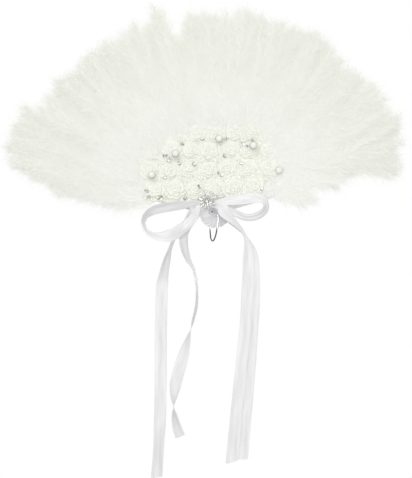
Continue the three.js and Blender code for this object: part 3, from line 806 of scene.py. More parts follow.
def placedRose(k, low, high):
    # a rose over its solid's middle, moved and scaled a little
    points, faces = roseSurface(np.random.default_rng(roses["seed"] * 100 + k), roses["rings"])
    jitter = np.random.default_rng(roses["seed"] * 300 + k).uniform(-1, 1, 4)
    points = points * (1 + roses["vary"] * jitter[3]) + [0, 0, low[2] + roses["clear"]]
    return points + (low + high) / 2 * [1, 1, 0] + jitter[:3] * roses["shift"], faces


def gapPlaces():
    # places among the roses, taken one by one, that are furthest from every rose and from each other
    x, y = np.meshgrid(*(np.arange(*side, 1.0) for side in roses["field"]))
    spots = np.column_stack([x.ravel(), y.ravel()])
    far = np.linalg.norm(spots[:, None] - roseMiddles[None, :, :2], axis=2)
    among = np.sort(far, axis=1)[:, 2] < roses["near"]
    spots, space = spots[among], far[among].min(1)
    places = []
    while space.max() > roses["apart"]:
        best = space.argmax()
        places.append(spots[best])
        space = np.minimum(space, np.linalg.norm(spots - spots[best], axis=1))
    return np.array(places)


rosePoints = []
roseMiddles = []
for k in range(roses["count"]):
    node = f"rose_{k + 1:02d}"
    low, high = nodeBox(node)
    surface = placedRose(k, low, high)
    thicken(addPiece(f"rose_cloth_{k + 1:02d}", surface, "rose", replaces=[node]), roses["cloth"])
    rosePoints.append(surface[0])
    roseMiddles.append((low + high) / 2)
roseMiddles = np.array(roseMiddles)

blossoms = []
for k, (x, y) in enumerate(gapPlaces()):
    points, faces = roseSurface(np.random.default_rng(roses["seed"] * 500 + k), roses["blossom"])
    blossoms.append((points + [x, y, panelFront(x, y)], faces))
thicken(addPiece("filler_blossoms", joined(blossoms), "rose"), roses["cloth"])
petalPoints = np.concatenate(rosePoints + [points for points, _ in blossoms])
print("roses:", roses["count"], "blossoms:", len(blossoms))


def seatAt(x, y, reach):
    # how far forward the petals come within reach of a place, or the panel where there are none
    near = np.hypot(petalPoints[:, 0] - x, petalPoints[:, 1] - y) < reach
    return petalPoints[near, 2].max() if near.any() else panelFront(x, y)


pearls = {
    "count": 5, "hole": 0.1, "dip": 0.16, "lean": 1.25, "turn": 0.9, "scallops": 9,
    # profile of the cup under a bead, outside and then inside, in radii of the bead
    "cup": [(0, -1.1), (0.5, -1.05), (0.84, -0.76), (1, -0.46), (1.04, -0.32), (1.02, -0.28),
            (0.99, -0.33), (0.93, -0.47), (0.72, -0.77), (0.42, -0.96), (0, -1.03)],
}


def pearlSurface(radius, hole):
    # a ball whose two ends dip into a drilled hole
    q = np.linspace(0, np.pi, 33)
    dip = np.exp(-(np.sin(q) / hole) ** 2) * (np.abs(np.cos(q)) > 0.5)
    ball = np.column_stack([np.sin(q), -np.cos(q) * (1 - pearls["dip"] * dip)]) * radius
    ball[[0, -1], 0] = 0
    return spun(ball, 44)


def beadMap(points, k, count):
    # across the map runs round bead k, within its own share of the width, and up runs from back to front
    turn = np.arctan2(points[:, 1], points[:, 0]) / (2 * np.pi) + 0.5
    front = points[:, 2] / np.abs(points).max() / 2 + 0.5
    return np.column_stack([(k + 0.02 + 0.96 * turn) / count, 0.02 + 0.96 * front])


def cupSurface(radius):
    # a scalloped cup under a bead
    points, faces = spun(pearls["cup"], 40)
    turn = np.arctan2(points[:, 1], points[:, 0])
    scallop = 1 + 0.03 * np.cos(pearls["scallops"] * turn) * np.hypot(points[:, 0], points[:, 1])
    return points * scallop[:, None] * radius, faces


pearlCups = []
for k in range(pearls["count"]):
    node = f"pearl_{k + 1}"
    low, high = nodeBox(node)
    centre = (low + high) / 2
    radius = (high[1] - low[1]) / 2
    points, faces = pearlSurface(radius, pearls["hole"])
    points = tilted(points, pearls["lean"], pearls["turn"] * k)
    addPiece(f"pearl_bead_{k + 1}", (points + centre, faces), "pearl", replaces=[node],
             flat=beadMap(points, 0, 1))
    points, faces = cupSurface(radius)
    pearlCups.append((points + centre, faces))
addPiece("pearl_cups", joined(pearlCups), "silver")

crystals = {
    "seed": 3, "radius": (1.0, 1.6), "stones": (2, 4), "stray": 1.9, "lean": 0.5,
    "seat": (1.4, 0.55), "pearlSeat": (3, 0.4),  # reach of the petals below, and height in radii
    # where the sprays of stones sit, in the drawing
    "places": [
        (-10, 75.7), (15.3, 76.9), (35, 70), (41.3, 76.3), (-31.8, 72), (-49.8, 60.4), (-44.5, 54.6),
        (-35, 52), (-18.4, 49.8), (11.7, 57.8), (31.8, 52), (7.4, 41.9), (9.5, 37.1), (-49.3, 35),
        (-14.2, 25.4), (51.9, 23.3), (-68.9, 21.2), (-64.7, 14.8), (-55.1, 14.8), (-28.1, 14.8),
    ],
    # small pearls beside them: place and radius
    "pearls": [(-70.6, 14.9, 2.2), (-57.6, 15.2, 1.7), (-50.4, 11.6, 1.6), (-48.2, 17, 1.2), (-44.8, 53, 1.4),
               (30.2, 74, 1.3), (9.8, 74.2, 1.3), (45.5, 69.6, 1.3)],
    "pearlLean": 1.1,
    # a cut stone from its point over the girdle to the table, and one claw, in radii of the girdle
    "cut": [(0, -0.75), (0.5, -0.4), (0.98, -0.02), (1, 0.08), (0.72, 0.36), (0.55, 0.42), (0, 0.42)],
    "claw": [(1.02, 0, -0.8), (1.12, 0, -0.2), (1.1, 0, 0.25), (0.86, 0, 0.42)], "clawWire": 0.11,
}


def prongs(count):
    # claws that lean over a stone's girdle: thin wires set round it
    route = splineThrough(crystals["claw"], 7)
    wire, faces = wireSurface(route, crystals["clawWire"], 5, np.array([0, 0, -0.2]))
    return joined([(tilted(wire, 0, turn), faces) for turn in roundTurns(count)])


cutStone = spun(crystals["cut"], 8)
fourClaws = prongs(4)


def spraySurfaces():
    # two or three stones round each place, each leaned its own way and held by four claws
    rng = np.random.default_rng(crystals["seed"])
    reach, lift = crystals["seat"]
    stones, claws = [], []
    for x, y in crystals["places"]:
        for _ in range(rng.integers(*crystals["stones"])):
            radius = rng.uniform(*crystals["radius"])
            px, py = np.array([x, y]) + rng.uniform(-crystals["stray"], crystals["stray"], 2)
            centre = np.array([px, py, seatAt(px, py, reach) + lift * radius])
            tip, turn = rng.uniform(-crystals["lean"], crystals["lean"]), rng.uniform(0, 6.3)
            for (points, faces), group in ((cutStone, stones), (fourClaws, claws)):
                group.append((tilted(points, tip, turn) * radius + centre, faces))
    return joined(stones), joined(claws)


stoneSurface, clawSurface = spraySurfaces()
reach, lift = crystals["pearlSeat"]
sprayPearls, sprayMaps = [], []
for k, (x, y, radius) in enumerate(crystals["pearls"]):
    points, faces = pearlSurface(radius, pearls["hole"])
    points = tilted(points, crystals["pearlLean"], x)
    sprayPearls.append((points + [x, y, seatAt(x, y, reach) + lift * radius], faces))
    sprayMaps.append(beadMap(points, k, len(crystals["pearls"])))
addPiece("spray_pearls", joined(sprayPearls), "pearl", flat=np.concatenate(sprayMaps))
addPiece("crystal_stones", stoneSurface, "crystal", smooth=False)
addPiece("crystal_claws", clawSurface, "silver")
print("pearls and crystals")


bow = {
    "x": -5.5, "y": 10.5, "halfWidth": 6.6, "halfHeight": 5.6, "depth": 8.5,
    "ribbon": 12.7, "narrowest": 2.5, "thickness": 0.5, "layerGap": 0.6, "cloth": 0.22,
    "along": 190, "across": 15, "knotAlong": 33, "knotRound": 49,
    "pleat": 0.9, "ripple": 0.1, "cutReach": 4, "cutWave": 0.35,
    "wrap": 0.036,  # length of the ribbon round the knot, in metres
    "tie": {"strands": 7, "thread": 0.92, "ring": 2, "rise": 3.5, "twist": 0.22, "seat": 1.5},
}
bow["back"] = rivet["front"] + 3 * sticks["gap"] + 2 * bail["wire"]
bow["knotBack"] = bow["back"] + 2 * (bow["thickness"] + bow["layerGap"])
bow["rearLayer"] = bow["back"] + bow["thickness"] / 2
bow["frontLayer"] = bow["rearLayer"] + bow["thickness"] + bow["layerGap"]

# cup hollows or arches a ribbon across, fold is the height of its soft waves and slant cuts its end;
# a loop's spot: x and y as shares of its length, share of its lift, share of the width, face in degrees
loops = {
    "left": {"side": -1, "length": 60, "lift": 0, "slant": 0, "cup": 0.22, "fold": 0.42, "spots": [
        [0, -0.01, 0, 0.4, 60], [0.13, -0.03, 0, 0.6, 50], [0.31, -0.06, 0, 0.9, 44],
        [0.57, -0.095, 0, 1, 40], [0.79, -0.145, 0, 1, 44], [0.95, -0.25, 0, 1, 66],
        [0.99, -0.375, 0, 1, 73], [0.94, -0.505, 0, 1, 71], [0.82, -0.585, 0, 1, 62],
        [0.64, -0.605, 0, 1, 38], [0.48, -0.575, 0, 1, -10], [0.34, -0.49, 0, 0.95, -14],
        [0.19, -0.36, 0, 0.8, 18], [0.095, -0.255, 0, 0.75, 33], [0.055, -0.15, 0, 0.65, 36],
        [0, -0.06, 0, 0.5, 50],
    ]},
    "right": {"side": 1, "length": 56, "lift": 4, "slant": 0, "cup": 0.22, "fold": 0.42, "spots": [
        [0, 0.01, 0, 0.4, 60], [0.11, 0.005, 0.4, 0.6, 46], [0.32, 0.022, 1, 0.95, 34],
        [0.54, 0.046, 1, 1, 28], [0.77, 0.068, 1, 1, 34], [0.92, 0.035, 1, 0.92, 46],
        [0.98, -0.07, 1, 0.82, 55], [0.94, -0.18, 0.9, 0.78, 46], [0.81, -0.27, 0.7, 0.72, 32],
        [0.6, -0.3, 0.5, 0.64, 26], [0.39, -0.215, 0.3, 0.66, 28], [0.18, -0.11, 0.1, 0.58, 46],
        [0, -0.09, 0, 0.4, 60],
    ]},
}
# a tail's spot: x and y from the knot as shares of its drop, lift and width as shares of the ribbon, face
tails = {
    "left_long": {"layer": "rearLayer", "drop": 290, "slant": 0.5, "cup": 0.22, "fold": 0.42, "spots": [
        [-0.01, 0.008, 0, 0.4, 0], [-0.05, 0.026, 0.1, 0.45, 35], [-0.0705, 0.056, 0.34, 0.76, 71],
        [-0.0895, 0.094, 0.3, 0.88, 74], [-0.12, 0.138, 0, 0.95, 78], [-0.134, 0.17, -0.25, 1, 76],
        [-0.145, 0.21, -0.3, 1, 58], [-0.154, 0.249, -0.18, 1, 45], [-0.158, 0.274, -0.12, 1, 36],
        [-0.162, 0.3, -0.05, 1, 8], [-0.164, 0.335, 0.04, 1, -4], [-0.165, 0.4, 0.1, 1, -4],
        [-0.166, 0.467, 0.12, 1, 0], [-0.167, 0.6, 0.05, 1, 4], [-0.168, 0.72, 0.14, 1, 0],
        [-0.17, 0.79, 0.16, 1, 4], [-0.173, 0.86, 0.1, 1, 26], [-0.177, 0.93, 0.04, 1, 30],
        [-0.182, 1, 0, 1, 26],
    ]},
    "left_twisted": {"layer": "frontLayer", "drop": 247, "slant": -0.7, "cup": 0.22, "fold": 0.42, "spots": [
        [-0.01, 0.012, 0, 0.4, 0], [-0.048, 0.064, 0, 0.5, 0], [-0.081, 0.108, 0, 0.55, 0],
        [-0.097, 0.141, -0.06, 0.7, 16], [-0.099, 0.172, -0.1, 1, 46], [-0.093, 0.209, -0.1, 1, 54],
        [-0.081, 0.246, -0.04, 1, 66], [-0.058, 0.288, 0, 1, 75], [-0.045, 0.334, 0, 1, 77.5],
        [-0.04, 0.39, 0, 1, 78], [-0.045, 0.45, 0, 1, 77], [-0.059, 0.506, 0, 1, 77],
        [-0.068, 0.543, 0, 1, 88], [-0.077, 0.575, 0, 1, 108], [-0.09, 0.622, 0, 1, 134],
        [-0.111, 0.692, 0.06, 1, 167], [-0.13, 0.762, 0.06, 1, 164], [-0.139, 0.82, 0.02, 1, 130],
        [-0.141, 0.868, -0.03, 1, 94], [-0.136, 0.915, -0.05, 1, 62], [-0.125, 0.965, 0, 1, 44],
        [-0.112, 1, 0, 1, 38],
    ]},
    "right_front": {"layer": "frontLayer", "drop": 274, "slant": 2.2, "cup": -0.45, "fold": 0.2, "spots": [
        [0.012, 0.012, 0.5, 0.5, 0], [0.04, 0.012, 0.85, 0.65, 0], [0.057, 0.019, 1.05, 0.88, 0],
        [0.066, 0.038, 1.08, 0.98, 0], [0.085, 0.06, 0.95, 0.7, 0], [0.114, 0.088, 0.68, 0.42, 0],
        [0.136, 0.113, 0.4, 0.25, 0], [0.145, 0.129, 0.27, 0.25, 0], [0.153, 0.147, 0.15, 0.4, 0],
        [0.16, 0.18, 0.05, 0.8, 4], [0.161, 0.222, 0.05, 1, 6], [0.158, 0.306, 0.1, 1, 8],
        [0.153, 0.4, 0.16, 1, 4], [0.147, 0.495, 0.18, 1, -2], [0.133, 0.624, 0.14, 1, -5],
        [0.116, 0.792, 0.12, 1, 2], [0.103, 0.918, 0.06, 1, 2], [0.096, 1, 0.02, 1, 0],
    ]},
    "right_rear": {"layer": "rearLayer", "drop": 271, "slant": 0.4, "cup": -0.3, "fold": 0.2, "spots": [
        [0.014, 0.014, 0, 0.4, 0], [0.042, 0.016, 0, 0.5, 0], [0.058, 0.025, 0, 0.55, 0],
        [0.068, 0.044, 0, 0.55, 0], [0.083, 0.066, 0, 0.5, 0], [0.114, 0.093, 0, 0.4, 0],
        [0.14, 0.119, 0, 0.25, 0], [0.149, 0.134, 0, 0.25, 0], [0.16, 0.154, 0.01, 0.4, 0],
        [0.173, 0.19, 0.02, 0.8, 4], [0.179, 0.232, 0.06, 1, 6], [0.183, 0.31, 0.12, 1, 8],
        [0.182, 0.408, 0.18, 1, 4], [0.176, 0.5, 0.2, 1, -2], [0.167, 0.631, 0.16, 1, -5],
        [0.153, 0.801, 0.14, 1, 2], [0.142, 0.928, 0.08, 1, 2], [0.136, 1, 0.04, 1, 0],
    ]},
}


def loopRows(loop):
    # place, width and face at each spot, counted outwards from the knot's side
    start = bow["halfWidth"] + 2 * sticks["gap"]
    depth = bow["knotBack"] + bow["ribbon"] / 2
    side, length, lift = (loop[key] for key in ("side", "length", "lift"))
    return [[bow["x"] + side * (start + x * length), bow["y"] + y * length, depth + rise * lift,
             share * bow["ribbon"], face] for x, y, rise, share, face in loop["spots"]]


def tailRows(tail):
    # the same for a tail, counted down from the knot's middle
    drop = tail["drop"]
    return [[bow["x"] + x * drop, bow["y"] - y * drop, bow[tail["layer"]] + lift * bow["ribbon"],
             share * bow["ribbon"], face] for x, y, lift, share, face in tail["spots"]]


def ribbonSurface(rows, cut):
    # the ribbon's width is carried along its route, turned by its face angle, cupped, waved a little
    # along its length, and pleated where it is drawn narrower than it was cut; narrow last rows and
    # columns keep its edges crisp
    rows = np.array(rows, float)
    middle = splineThrough(rows[:, :3], bow["along"])
    form = splineThrough(np.column_stack([rows[:, 3:5], 0 * rows[:, 0]]), bow["along"])
    middle, form = (np.insert(line, -1, 0.1 * line[-2] + 0.9 * line[-1], axis=0) for line in (middle, form))
    along = unit(np.gradient(middle, axis=0))
    face = np.radians(form[:, 1:2])
    flat = unit(np.column_stack([along[:, 1], -along[:, 0], 0 * along[:, 0]]))
    wide = flat * np.cos(face) + np.array([0, 0, 1]) * np.sin(face)
    wide = unit(wide - (wide * along).sum(1, keepdims=True) * along)
    normal = np.cross(along, wide)
    u = np.concatenate([[-1], np.linspace(-0.98, 0.98, bow["across"]), [1]])
    width = np.clip(form[:, :1], bow["narrowest"], bow["ribbon"])
    drawn = 1 - width / bow["ribbon"]
    walked = np.concatenate([[0], np.cumsum(np.linalg.norm(np.diff(middle, axis=0), axis=1))])[:, None]
    wave = np.sin(2.6 * u + 1.1 * np.sin(walked / 31)) * np.sin(walked / 47 + 0.6)
    lift = cut["cup"] * (u ** 2 - 0.33) + bow["pleat"] * np.minimum(drawn, 0.5) * np.cos(u * 7.5)
    lift = lift + (cut["fold"] * wave + bow["ripple"] * np.sin(walked / 9.5 + 2.2 * u)) * (1 - drawn)
    nearEnd = np.clip(1 - (walked[-1] - walked) / bow["cutReach"], 0, 1)
    end = nearEnd * (cut["slant"] * u + bow["cutWave"] * np.sin(3.4 * u + 0.8))
    points = (middle[:, None] + wide[:, None] * (u * width / 2)[..., None]
              + normal[:, None] * lift[..., None] + along[:, None] * end[..., None])
    return gridSurface(points), mapPoints((u + 1) / 2, walked / walked[-1]), walked[-1, 0]


def addRibbon(name, node, rows, cut):
    # a thin strip, as long when flat as its route
    surface, flatMap, length = ribbonSurface(rows, cut)
    piece = addPiece(name, surface, "satin", replaces=[node], flat=flatMap)
    thicken(piece, bow["cloth"])
    bow["ribbon"] / 1000
    length / 1000


def knotSurface():
    # a band wrapped over the ribbons: an oval that bulges in the middle, with folds that run round it
    u, q = lattice(np.linspace(-1, 1, bow["knotAlong"]), np.linspace(0, 2 * np.pi, bow["knotRound"]))
    swell = (1 - 0.45 * np.abs(u) ** 3.2) * (1 + 0.05 * np.cos(u * 11 + 0.5 * np.sin(2 * q)))
    x = bow["x"] + bow["halfWidth"] * u * (1 - 0.1 * np.cos(q) ** 2)
    y = bow["y"] - bow["halfHeight"] * swell * np.cos(q)
    z = bow["knotBack"] + bow["depth"] / 2 + bow["depth"] / 2 * swell * 0.97 * np.sin(q)
    return gridSurface(np.stack([x, y, z], -1)), mapPoints((u + 1) / 2, q / (2 * np.pi))


def tieSurface():
    # threads twisted round one line from the knot back to the sticks
    tie = bow["tie"]
    line = np.array([bow["x"], bow["y"] + tie["rise"], 0.0])
    z = np.linspace(nodeBox("bow_knot")[0][2], bow["knotBack"] + tie["seat"], 30)
    strands = []
    for start in roundTurns(tie["strands"]):
        route = polar(tie["ring"], start + z * tie["twist"], z) + line
        strands.append(wireSurface(route, tie["thread"], 8, line))
    return joined(strands)


knotBand, knotMap = knotSurface()
knot = addPiece("bow_knot_wrap", knotBand, "satin", replaces=["bow_knot"], flat=knotMap)
thicken(knot, bow["cloth"], -1)
bow["ribbon"] / 1000
addPiece("bow_tie", tieSurface(), "rose")
for name, loop in loops.items():
    addRibbon(f"satin_loop_{name}", f"bow_loop_{name}", loopRows(loop), loop)
for name, tail in tails.items():
    addRibbon(f"satin_tail_{name}", f"tail_{name}", tailRows(tail), tail)
print("bow")


brooch = {
    "reach": 8.8, "thickness": 1.4, "lean": 0.1, "leaf": (0.85, 1.3),  # width and height of a leaf
    "stone": 1.05, "pearl": 1.15, "pearlHole": 0.12, "ring": 1.9, "ringWire": 0.24, "tipRise": 2.2,
    "smallStones": 6, "smallStone": 0.8, "smallPlace": (0, 2.5, 2.6), "smallLean": 0.15,
    "heart": 1.7, "heartRise": 2.9, "heartClaws": 1.75, "clawRise": 2.6,
    # leaves round the boss: angle, length and what sits at the end
    "sprig": [(96, 11.5, "ring"), (62, 11, "ring"), (28, 13, "stone"), (4, 7.5, "stone"), (128, 9.5, "pearl"),
              (158, 8.6, "stone"), (190, 8.8, "pearl"), (222, 8.4, "stone"), (254, 7, "pearl"),
              (286, 7.4, "stone"), (318, 8.6, "stone"), (342, 9, "pearl")],
}
brooch["seat"] = bow["knotBack"] + bow["depth"] + sticks["gap"]


def raySurface(length, width, height):
    # a leaf with a ridge down its middle: its width swells and comes to a point
    t, q = lattice(np.linspace(0, 1, 13), roundTurns(10))
    swell = np.sin(np.pi * (0.06 + 0.92 * t)) ** 0.8
    ridge = 1 + 0.3 * np.cos(2 * q)
    rise = height * (0.5 + 0.5 * np.sin(q) * swell * ridge)
    return tube(np.stack([width * swell * np.cos(q), length * t, rise], -1), inward=True)


def broochSurfaces():
    # leaves stand out round a small boss; each ends in a stone, a pearl or a pearl in a ring of wire
    reach = brooch["reach"]
    boss = [(0, 0), (0.4 * reach, 0), (0.45 * reach, 0.3), (0.42 * reach, 0.8), (0.3 * reach, 1.3),
            (0, brooch["thickness"])]
    ringRoute = polar(brooch["ring"], np.linspace(0, 2 * np.pi, 25), 0.0)
    ring = wireSurface(ringRoute, brooch["ringWire"], 7, np.zeros(3))
    bead = pearlSurface(brooch["pearl"], brooch["pearlHole"])
    heart = pearlSurface(brooch["heart"], pearls["hole"])
    metal, stones, beads, beadShapes = [spun(boss, 36)], [], [], []

    def fasten(group, surface, scale, shift, lean=0, angle=0):
        # a surface scaled, moved, leaned and turned goes into a group
        points, faces = surface
        group.append((tilted(points * scale + shift, lean, angle), faces))

    for degrees, length, end in brooch["sprig"]:
        lie = (brooch["lean"], np.radians(degrees - 90))
        tip = np.array([0, length - 0.6, brooch["tipRise"]])
        fasten(metal, raySurface(length - 2, *brooch["leaf"]), 1, [0, 1.4, 0.9], *lie)
        if end == "stone":
            fasten(stones, cutStone, brooch["stone"], tip, *lie)
            fasten(metal, fourClaws, brooch["stone"], tip, *lie)
        else:
            fasten(beads, bead, 1, tip, *lie)
            beadShapes.append(bead[0])
        if end == "ring":
            fasten(metal, ring, 1, tip, *lie)
    for k in range(brooch["smallStones"]):
        angle = np.radians(k * 360 / brooch["smallStones"] + 20)
        fasten(stones, cutStone, brooch["smallStone"], brooch["smallPlace"], brooch["smallLean"], angle)
    fasten(beads, heart, 1, [0, 0, brooch["heartRise"]])
    beadShapes.append(heart[0])
    fasten(metal, prongs(6), brooch["heartClaws"], [0, 0, brooch["clawRise"]])
    beadMaps = [beadMap(points, k, len(beadShapes)) for k, points in enumerate(beadShapes)]
    place = np.array([bow["x"], bow["y"], brooch["seat"]])
    surfaces = [(points + place, faces) for points, faces in map(joined, (metal, stones, beads))]
    return surfaces, np.concatenate(beadMaps)


(metalSurface, gemSurface, beadSurface), beadFlat = broochSurfaces()
addPiece("brooch_setting", metalSurface, "silver", replaces=["brooch"])
addPiece("brooch_stones", gemSurface, "crystal", smooth=False)
addPiece("brooch_pearls", beadSurface, "pearl", flat=beadFlat)
print("brooch")


marabou = {
    "seed": 11, "length": 21, "width": 0.34,  # of a barb
    "reach": 213, "front": 35, "back": 25,  # of the round edge, and depths towards which the down flattens
    # quills in the body of a plume, in a collar before it and in a row behind it: barbs on each, their
    # length and tones; where quills root, how far out they end, stand off and bow, and angles that hold them
    "body": {"count": 30, "barbs": 920, "scale": 1.0, "tones": (0.2, 1), "root": (70, 98), "inner": 70,
             "short": (3.5, 10.5), "off": (-3, 3), "bow": 11, "span": (11.2, 172.8), "starts": (23, 173)},
    "collar": {"count": 24, "barbs": 390, "scale": 0.8, "tones": (0.05, 0.25), "root": (48, 97),
               "out": (28, 62), "off": (1, 3), "bow": (1, 6), "starts": (11, 171), "ends": (11, 174.6)},
    "rear": {"count": 10, "barbs": 480, "scale": 0.85, "tones": (0.2, 0.8), "root": (88, 104),
             "out": (35, 80), "off": (1, 2.5), "bow": (1, 8), "span": (20, 170), "ends": (19, 171)},
    # a collar quill roots clear of the roses, above a height and past a share of the field of roses
    "among": {"tries": 600, "room": 6.5, "lowest": 12, "past": 0.84},
    # more of them over each outer stick: by stick the first root, the lowest and the highest angle;
    # they keep above an angle at a reach, and by so much more for each mm nearer
    "skirt": {"count": 20, "last": 92, "sides": {0: (54, 169, 173), 9: (47, 13.5, 23)},
              "above": (12, 83, 0.25)},
    # those below an angle turn down beside the right loop
    "hanging": {"below": 15.5, "turn": (1.5, 5), "tip": (92, 107)},
    # tufts and dips of the edge: angle, spread and how far it stands out
    "tufts": [(15, 4, -6), (27, 4, 7), (35, 4, 7), (40.4, 2.5, 3), (54.4, 2, 4), (61, 5, 6.5), (70, 2, 4),
              (80.5, 3.5, 6), (90, 3, -2), (94.5, 1.5, 4), (101, 2.75, -22.5), (104.8, 1.9, 18),
              (113.5, 1.8, 4), (120, 2.5, 1), (128.5, 2, 4), (133.5, 2, -1), (139, 2.5, 5), (144.5, 3, 3),
              (148, 1.4, -5), (150.9, 1.5, 7), (155.5, 6.5, 18), (158.5, 1.6, 3.5), (164, 4, 10.5)],
    # how the edge falls away below the outer sticks: angle and share of the reach
    "fall": [(4, 0.46), (8, 0.58), (10.5, 0.94), (13, 1), (167, 1), (170, 0.86), (172, 0.79), (176, 0.7),
             (179, 0.46)],
    # the dense down along a stick: where it starts, how far it stays inside the edge, half its depth, and
    # its share of the room between sticks on a guard and on a stave
    "core": {"start": 97, "inside": 28, "depth": 2.4, "guardShare": 0.5, "staveShare": 0.86},
}


def edgeReach(degrees):
    # a round edge with tufts and dips on it, two small waves, and a fall to each side
    reach = marabou["reach"] + sum(out * np.exp(-((degrees - angle) / spread) ** 4)
                                   for angle, spread, out in marabou["tufts"])
    reach = reach + 2.4 * np.sin(degrees * 1.9 + 1) + 1.6 * np.sin(degrees * 3.1)
    return reach * np.interp(degrees, *np.array(marabou["fall"]).T)


def shaftPoint(feather, s):
    # a quill from its root to its tip in polar form: it drifts sideways and bows to the front or back
    reach = feather["root"] + (feather["tip"] - feather["root"]) * s
    angle = np.radians(feather["start"] + (feather["end"] - feather["start"]) * s ** 1.6)
    return polar(reach, angle, feather["deep"] + feather["bow"] * np.sin(np.pi * 0.86 * s)), angle


def barbs(rng, feather, count, scale, tones):
    # each barb leaves the quill at a slant, all round it, and bends towards the tip with a slight droop;
    # it is a strip of two spans that narrows to a point
    feather = {key: np.repeat(value, count) for key, value in feather.items()}
    total = len(feather["root"])
    s = rng.uniform(0.03, 1, total) ** 0.66
    foot, angle = shaftPoint(feather, s)
    ahead, _ = shaftPoint(feather, s + 0.02)
    along = unit(ahead - foot)
    aside = np.stack([-np.sin(angle), np.cos(angle), 0 * angle], -1)
    slant = np.radians(rng.uniform(10, 66, total)) * (1 + 0.1 * s ** 2)
    roll = rng.uniform(0, 2 * np.pi, total)
    spread = aside * np.cos(roll)[:, None] + np.array([0, 0, 0.8]) * np.sin(roll)[:, None]
    leave = along * np.cos(slant)[:, None] + spread * np.sin(slant)[:, None]
    length = (marabou["length"] * scale * (1.12 - 0.66 * s) * rng.uniform(0.45, 1.2, total))[:, None]
    bend = 0.2 * along + np.array([0, -0.1, 0]) + 0.3 * rng.normal(size=(total, 3))
    t = np.array([0, 0.5, 1])[None, :, None]
    line = foot[:, None] + length[:, None] * (t * leave[:, None] + t ** 2 * bend[:, None])
    edge = unit(np.cross(leave, rng.normal(size=(total, 3))))[:, None] * marabou["width"] / 2
    taper = np.array([0.85, 1])[None, :, None]
    pairs = np.stack([line[:, :2] - edge * taper, line[:, :2] + edge * taper], 2).reshape(total, 4, 3)
    points = np.concatenate([pairs, line[:, 2:]], 1).reshape(-1, 3)
    limit = np.where(points[:, 2] > 0, marabou["front"], marabou["back"])
    points[:, 2] = limit * np.tanh(points[:, 2] / limit)
    first = np.arange(total)[:, None] * 5
    faces = [first + [0, 1, 3, 2], first + [2, 3, 4]]
    tone = tones[0] + (tones[1] - tones[0]) * s ** 1.6 + rng.uniform(-0.08, 0.08, total)
    tone = np.clip(tone, 0.02, 0.98)[:, None] + np.array([-0.01, 0.01] * 2 + [0])
    up = 0.02 + 0.96 * np.array([0, 0, 0.5, 0.5, 1])
    return points, faces, mapPoints(tone, up)


def spacedOut(rng, low, high, count):
    # one random place in each of count equal spans
    return low + (high - low) * (np.arange(count) + rng.uniform(0, 1, count)) / count


def collarRoots(rng, angle):
    # places spread over a stick's share of the panel, among the outer roses and outside them
    collar, among = marabou["collar"], marabou["among"]
    share = 0.62 * sticks["step"]
    degrees = spacedOut(rng, angle - share, angle + share, among["tries"])
    degrees = np.clip(degrees, *collar["starts"])
    root = rng.uniform(*collar["root"], among["tries"])
    x, y = root * np.cos(np.radians(degrees)), root * np.sin(np.radians(degrees))
    clear = np.hypot(x[:, None] - roseMiddles[:, 0], y[:, None] - roseMiddles[:, 1]).min(1)
    low, high = roseMiddles.min(0), roseMiddles.max(0)
    across = (x - (low[0] + high[0]) / 2) / ((high[0] - low[0]) / 2)
    up = (y - low[1]) / (high[1] - low[1])
    past = np.hypot(across, up) > among["past"]
    free = np.flatnonzero((clear > among["room"]) & (y > among["lowest"]) & past)
    kept = free[np.linspace(0, len(free) - 1, collar["count"]).astype(int)]
    return degrees[kept], root[kept]


def skirtRoots(rng, first, lower, upper):
    # places along an outer stick; nearer the rivet they stay further above the right loop
    skirt = marabou["skirt"]
    degrees = rng.uniform(lower, upper, skirt["count"])
    root = spacedOut(rng, first, skirt["last"], skirt["count"])
    angle, reach, slope = skirt["above"]
    return np.maximum(degrees, angle + slope * (reach - root)), root


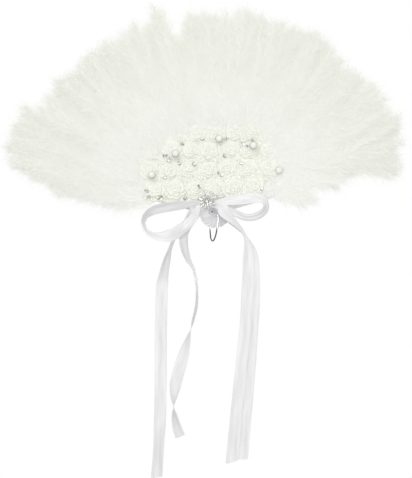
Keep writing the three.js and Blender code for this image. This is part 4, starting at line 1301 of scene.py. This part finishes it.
def plumeFeathers(rng, k):
    # three groups of quills for one stick: the body, a collar in front and a row behind;
    # with each go its barbs to a quill, their length and their range of tones
    angle = stickAngle(k)
    share = 0.6 * sticks["step"]
    body, collar, rear, hanging = (marabou[key] for key in ("body", "collar", "rear", "hanging"))
    n = body["count"]
    low, high = max(angle - share, body["span"][0]), min(angle + share, body["span"][1])
    end = spacedOut(rng, low, high, n)
    inner = rng.uniform(0, 1, n) ** 2 * body["inner"] * (np.arange(n) % 3 == 0)
    bodyQuills = {
        "start": np.clip(angle + (end - angle) * 0.6 + rng.normal(0, 1, n), *body["starts"]),
        "end": end,
        "root": rng.uniform(*body["root"], n),
        "tip": edgeReach(end) - rng.uniform(*body["short"], n) - inner,
        "deep": stickBack(k) + stickThickness(k) / 2 + rng.uniform(*body["off"], n),
        "bow": body["bow"] * rng.uniform(-1, 1, n),
    }
    end, root = collarRoots(rng, angle)
    if k in marabou["skirt"]["sides"]:
        end, root = np.hstack([(end, root), skirtRoots(rng, *marabou["skirt"]["sides"][k])])
    n = len(end)
    hangs = end < hanging["below"]
    down = end - rng.uniform(*hanging["turn"], n)
    collarQuills = {
        "start": end,
        "end": np.where(hangs, down, np.clip(end + rng.normal(0, 2.5, n), *collar["ends"])),
        "root": root,
        "tip": np.where(hangs, rng.uniform(*hanging["tip"], n), root + rng.uniform(*collar["out"], n)),
        "deep": panelBack(root, end) + panel["thickness"] + rng.uniform(*collar["off"], n),
        "bow": rng.uniform(*collar["bow"], n),
    }
    n = rear["count"]
    end = spacedOut(rng, max(low, rear["span"][0]), min(high, rear["span"][1]), n)
    root = rng.uniform(*rear["root"], n)
    rearQuills = {
        "start": end,
        "end": np.clip(end + rng.normal(0, 2.5, n), *rear["ends"]),
        "root": root,
        "tip": root + rng.uniform(*rear["out"], n),
        "deep": stickBack(k) - rng.uniform(*rear["off"], n),
        "bow": -rng.uniform(*rear["bow"], n),
    }
    groups = ((bodyQuills, body), (collarQuills, collar), (rearQuills, rear))
    return [(quills, form["barbs"], form["scale"], form["tones"]) for quills, form in groups]


def plumeCore(k):
    # the dense down along the stick: a lens in section that swells and narrows to a point
    core = marabou["core"]
    t, q = lattice(np.linspace(0, 1, 22), roundTurns(16))
    reach = core["start"] + (edgeReach(stickAngle(k)) - core["inside"] - core["start"]) * t
    swell = np.sin(np.pi * (0.1 + 0.88 * t)) ** 0.6
    share = core["guardShare"] if isGuard(k) else core["staveShare"]
    half = reach * np.tan(np.radians(sticks["step"] / 2)) * share * swell
    deep = core["depth"] * np.sin(np.pi * (0.12 + 0.86 * t)) * np.sin(q)
    ripple = 1 + 0.12 * np.sin(7 * q + 9 * t)
    rings = np.stack([half * np.cos(q), reach, stickBack(k) + stickThickness(k) / 2 + deep * ripple], -1)
    points, faces = tube(turned(rings, stickAngle(k)), inward=True)
    flatMap = mapPoints(0.5 + 0.4 * q / (2 * np.pi), 0.1 + 0.3 * t)
    return points, faces, np.vstack([flatMap, [[0.7, 0.1], [0.7, 0.4]]])


for k in range(sticks["count"]):
    rng = np.random.default_rng(marabou["seed"] * 50 + k)
    groups = [barbs(rng, *group) for group in plumeFeathers(rng, k)] + [plumeCore(k)]
    surface = joined([(points, faces) for points, faces, _ in groups])
    flatMap = np.concatenate([group[2] for group in groups])
    node = f"plume_{k + 1:02d}"
    addPiece(f"marabou_{k + 1:02d}", surface, "marabou", replaces=[node], flat=flatMap)
print("marabou plumes:", sticks["count"])
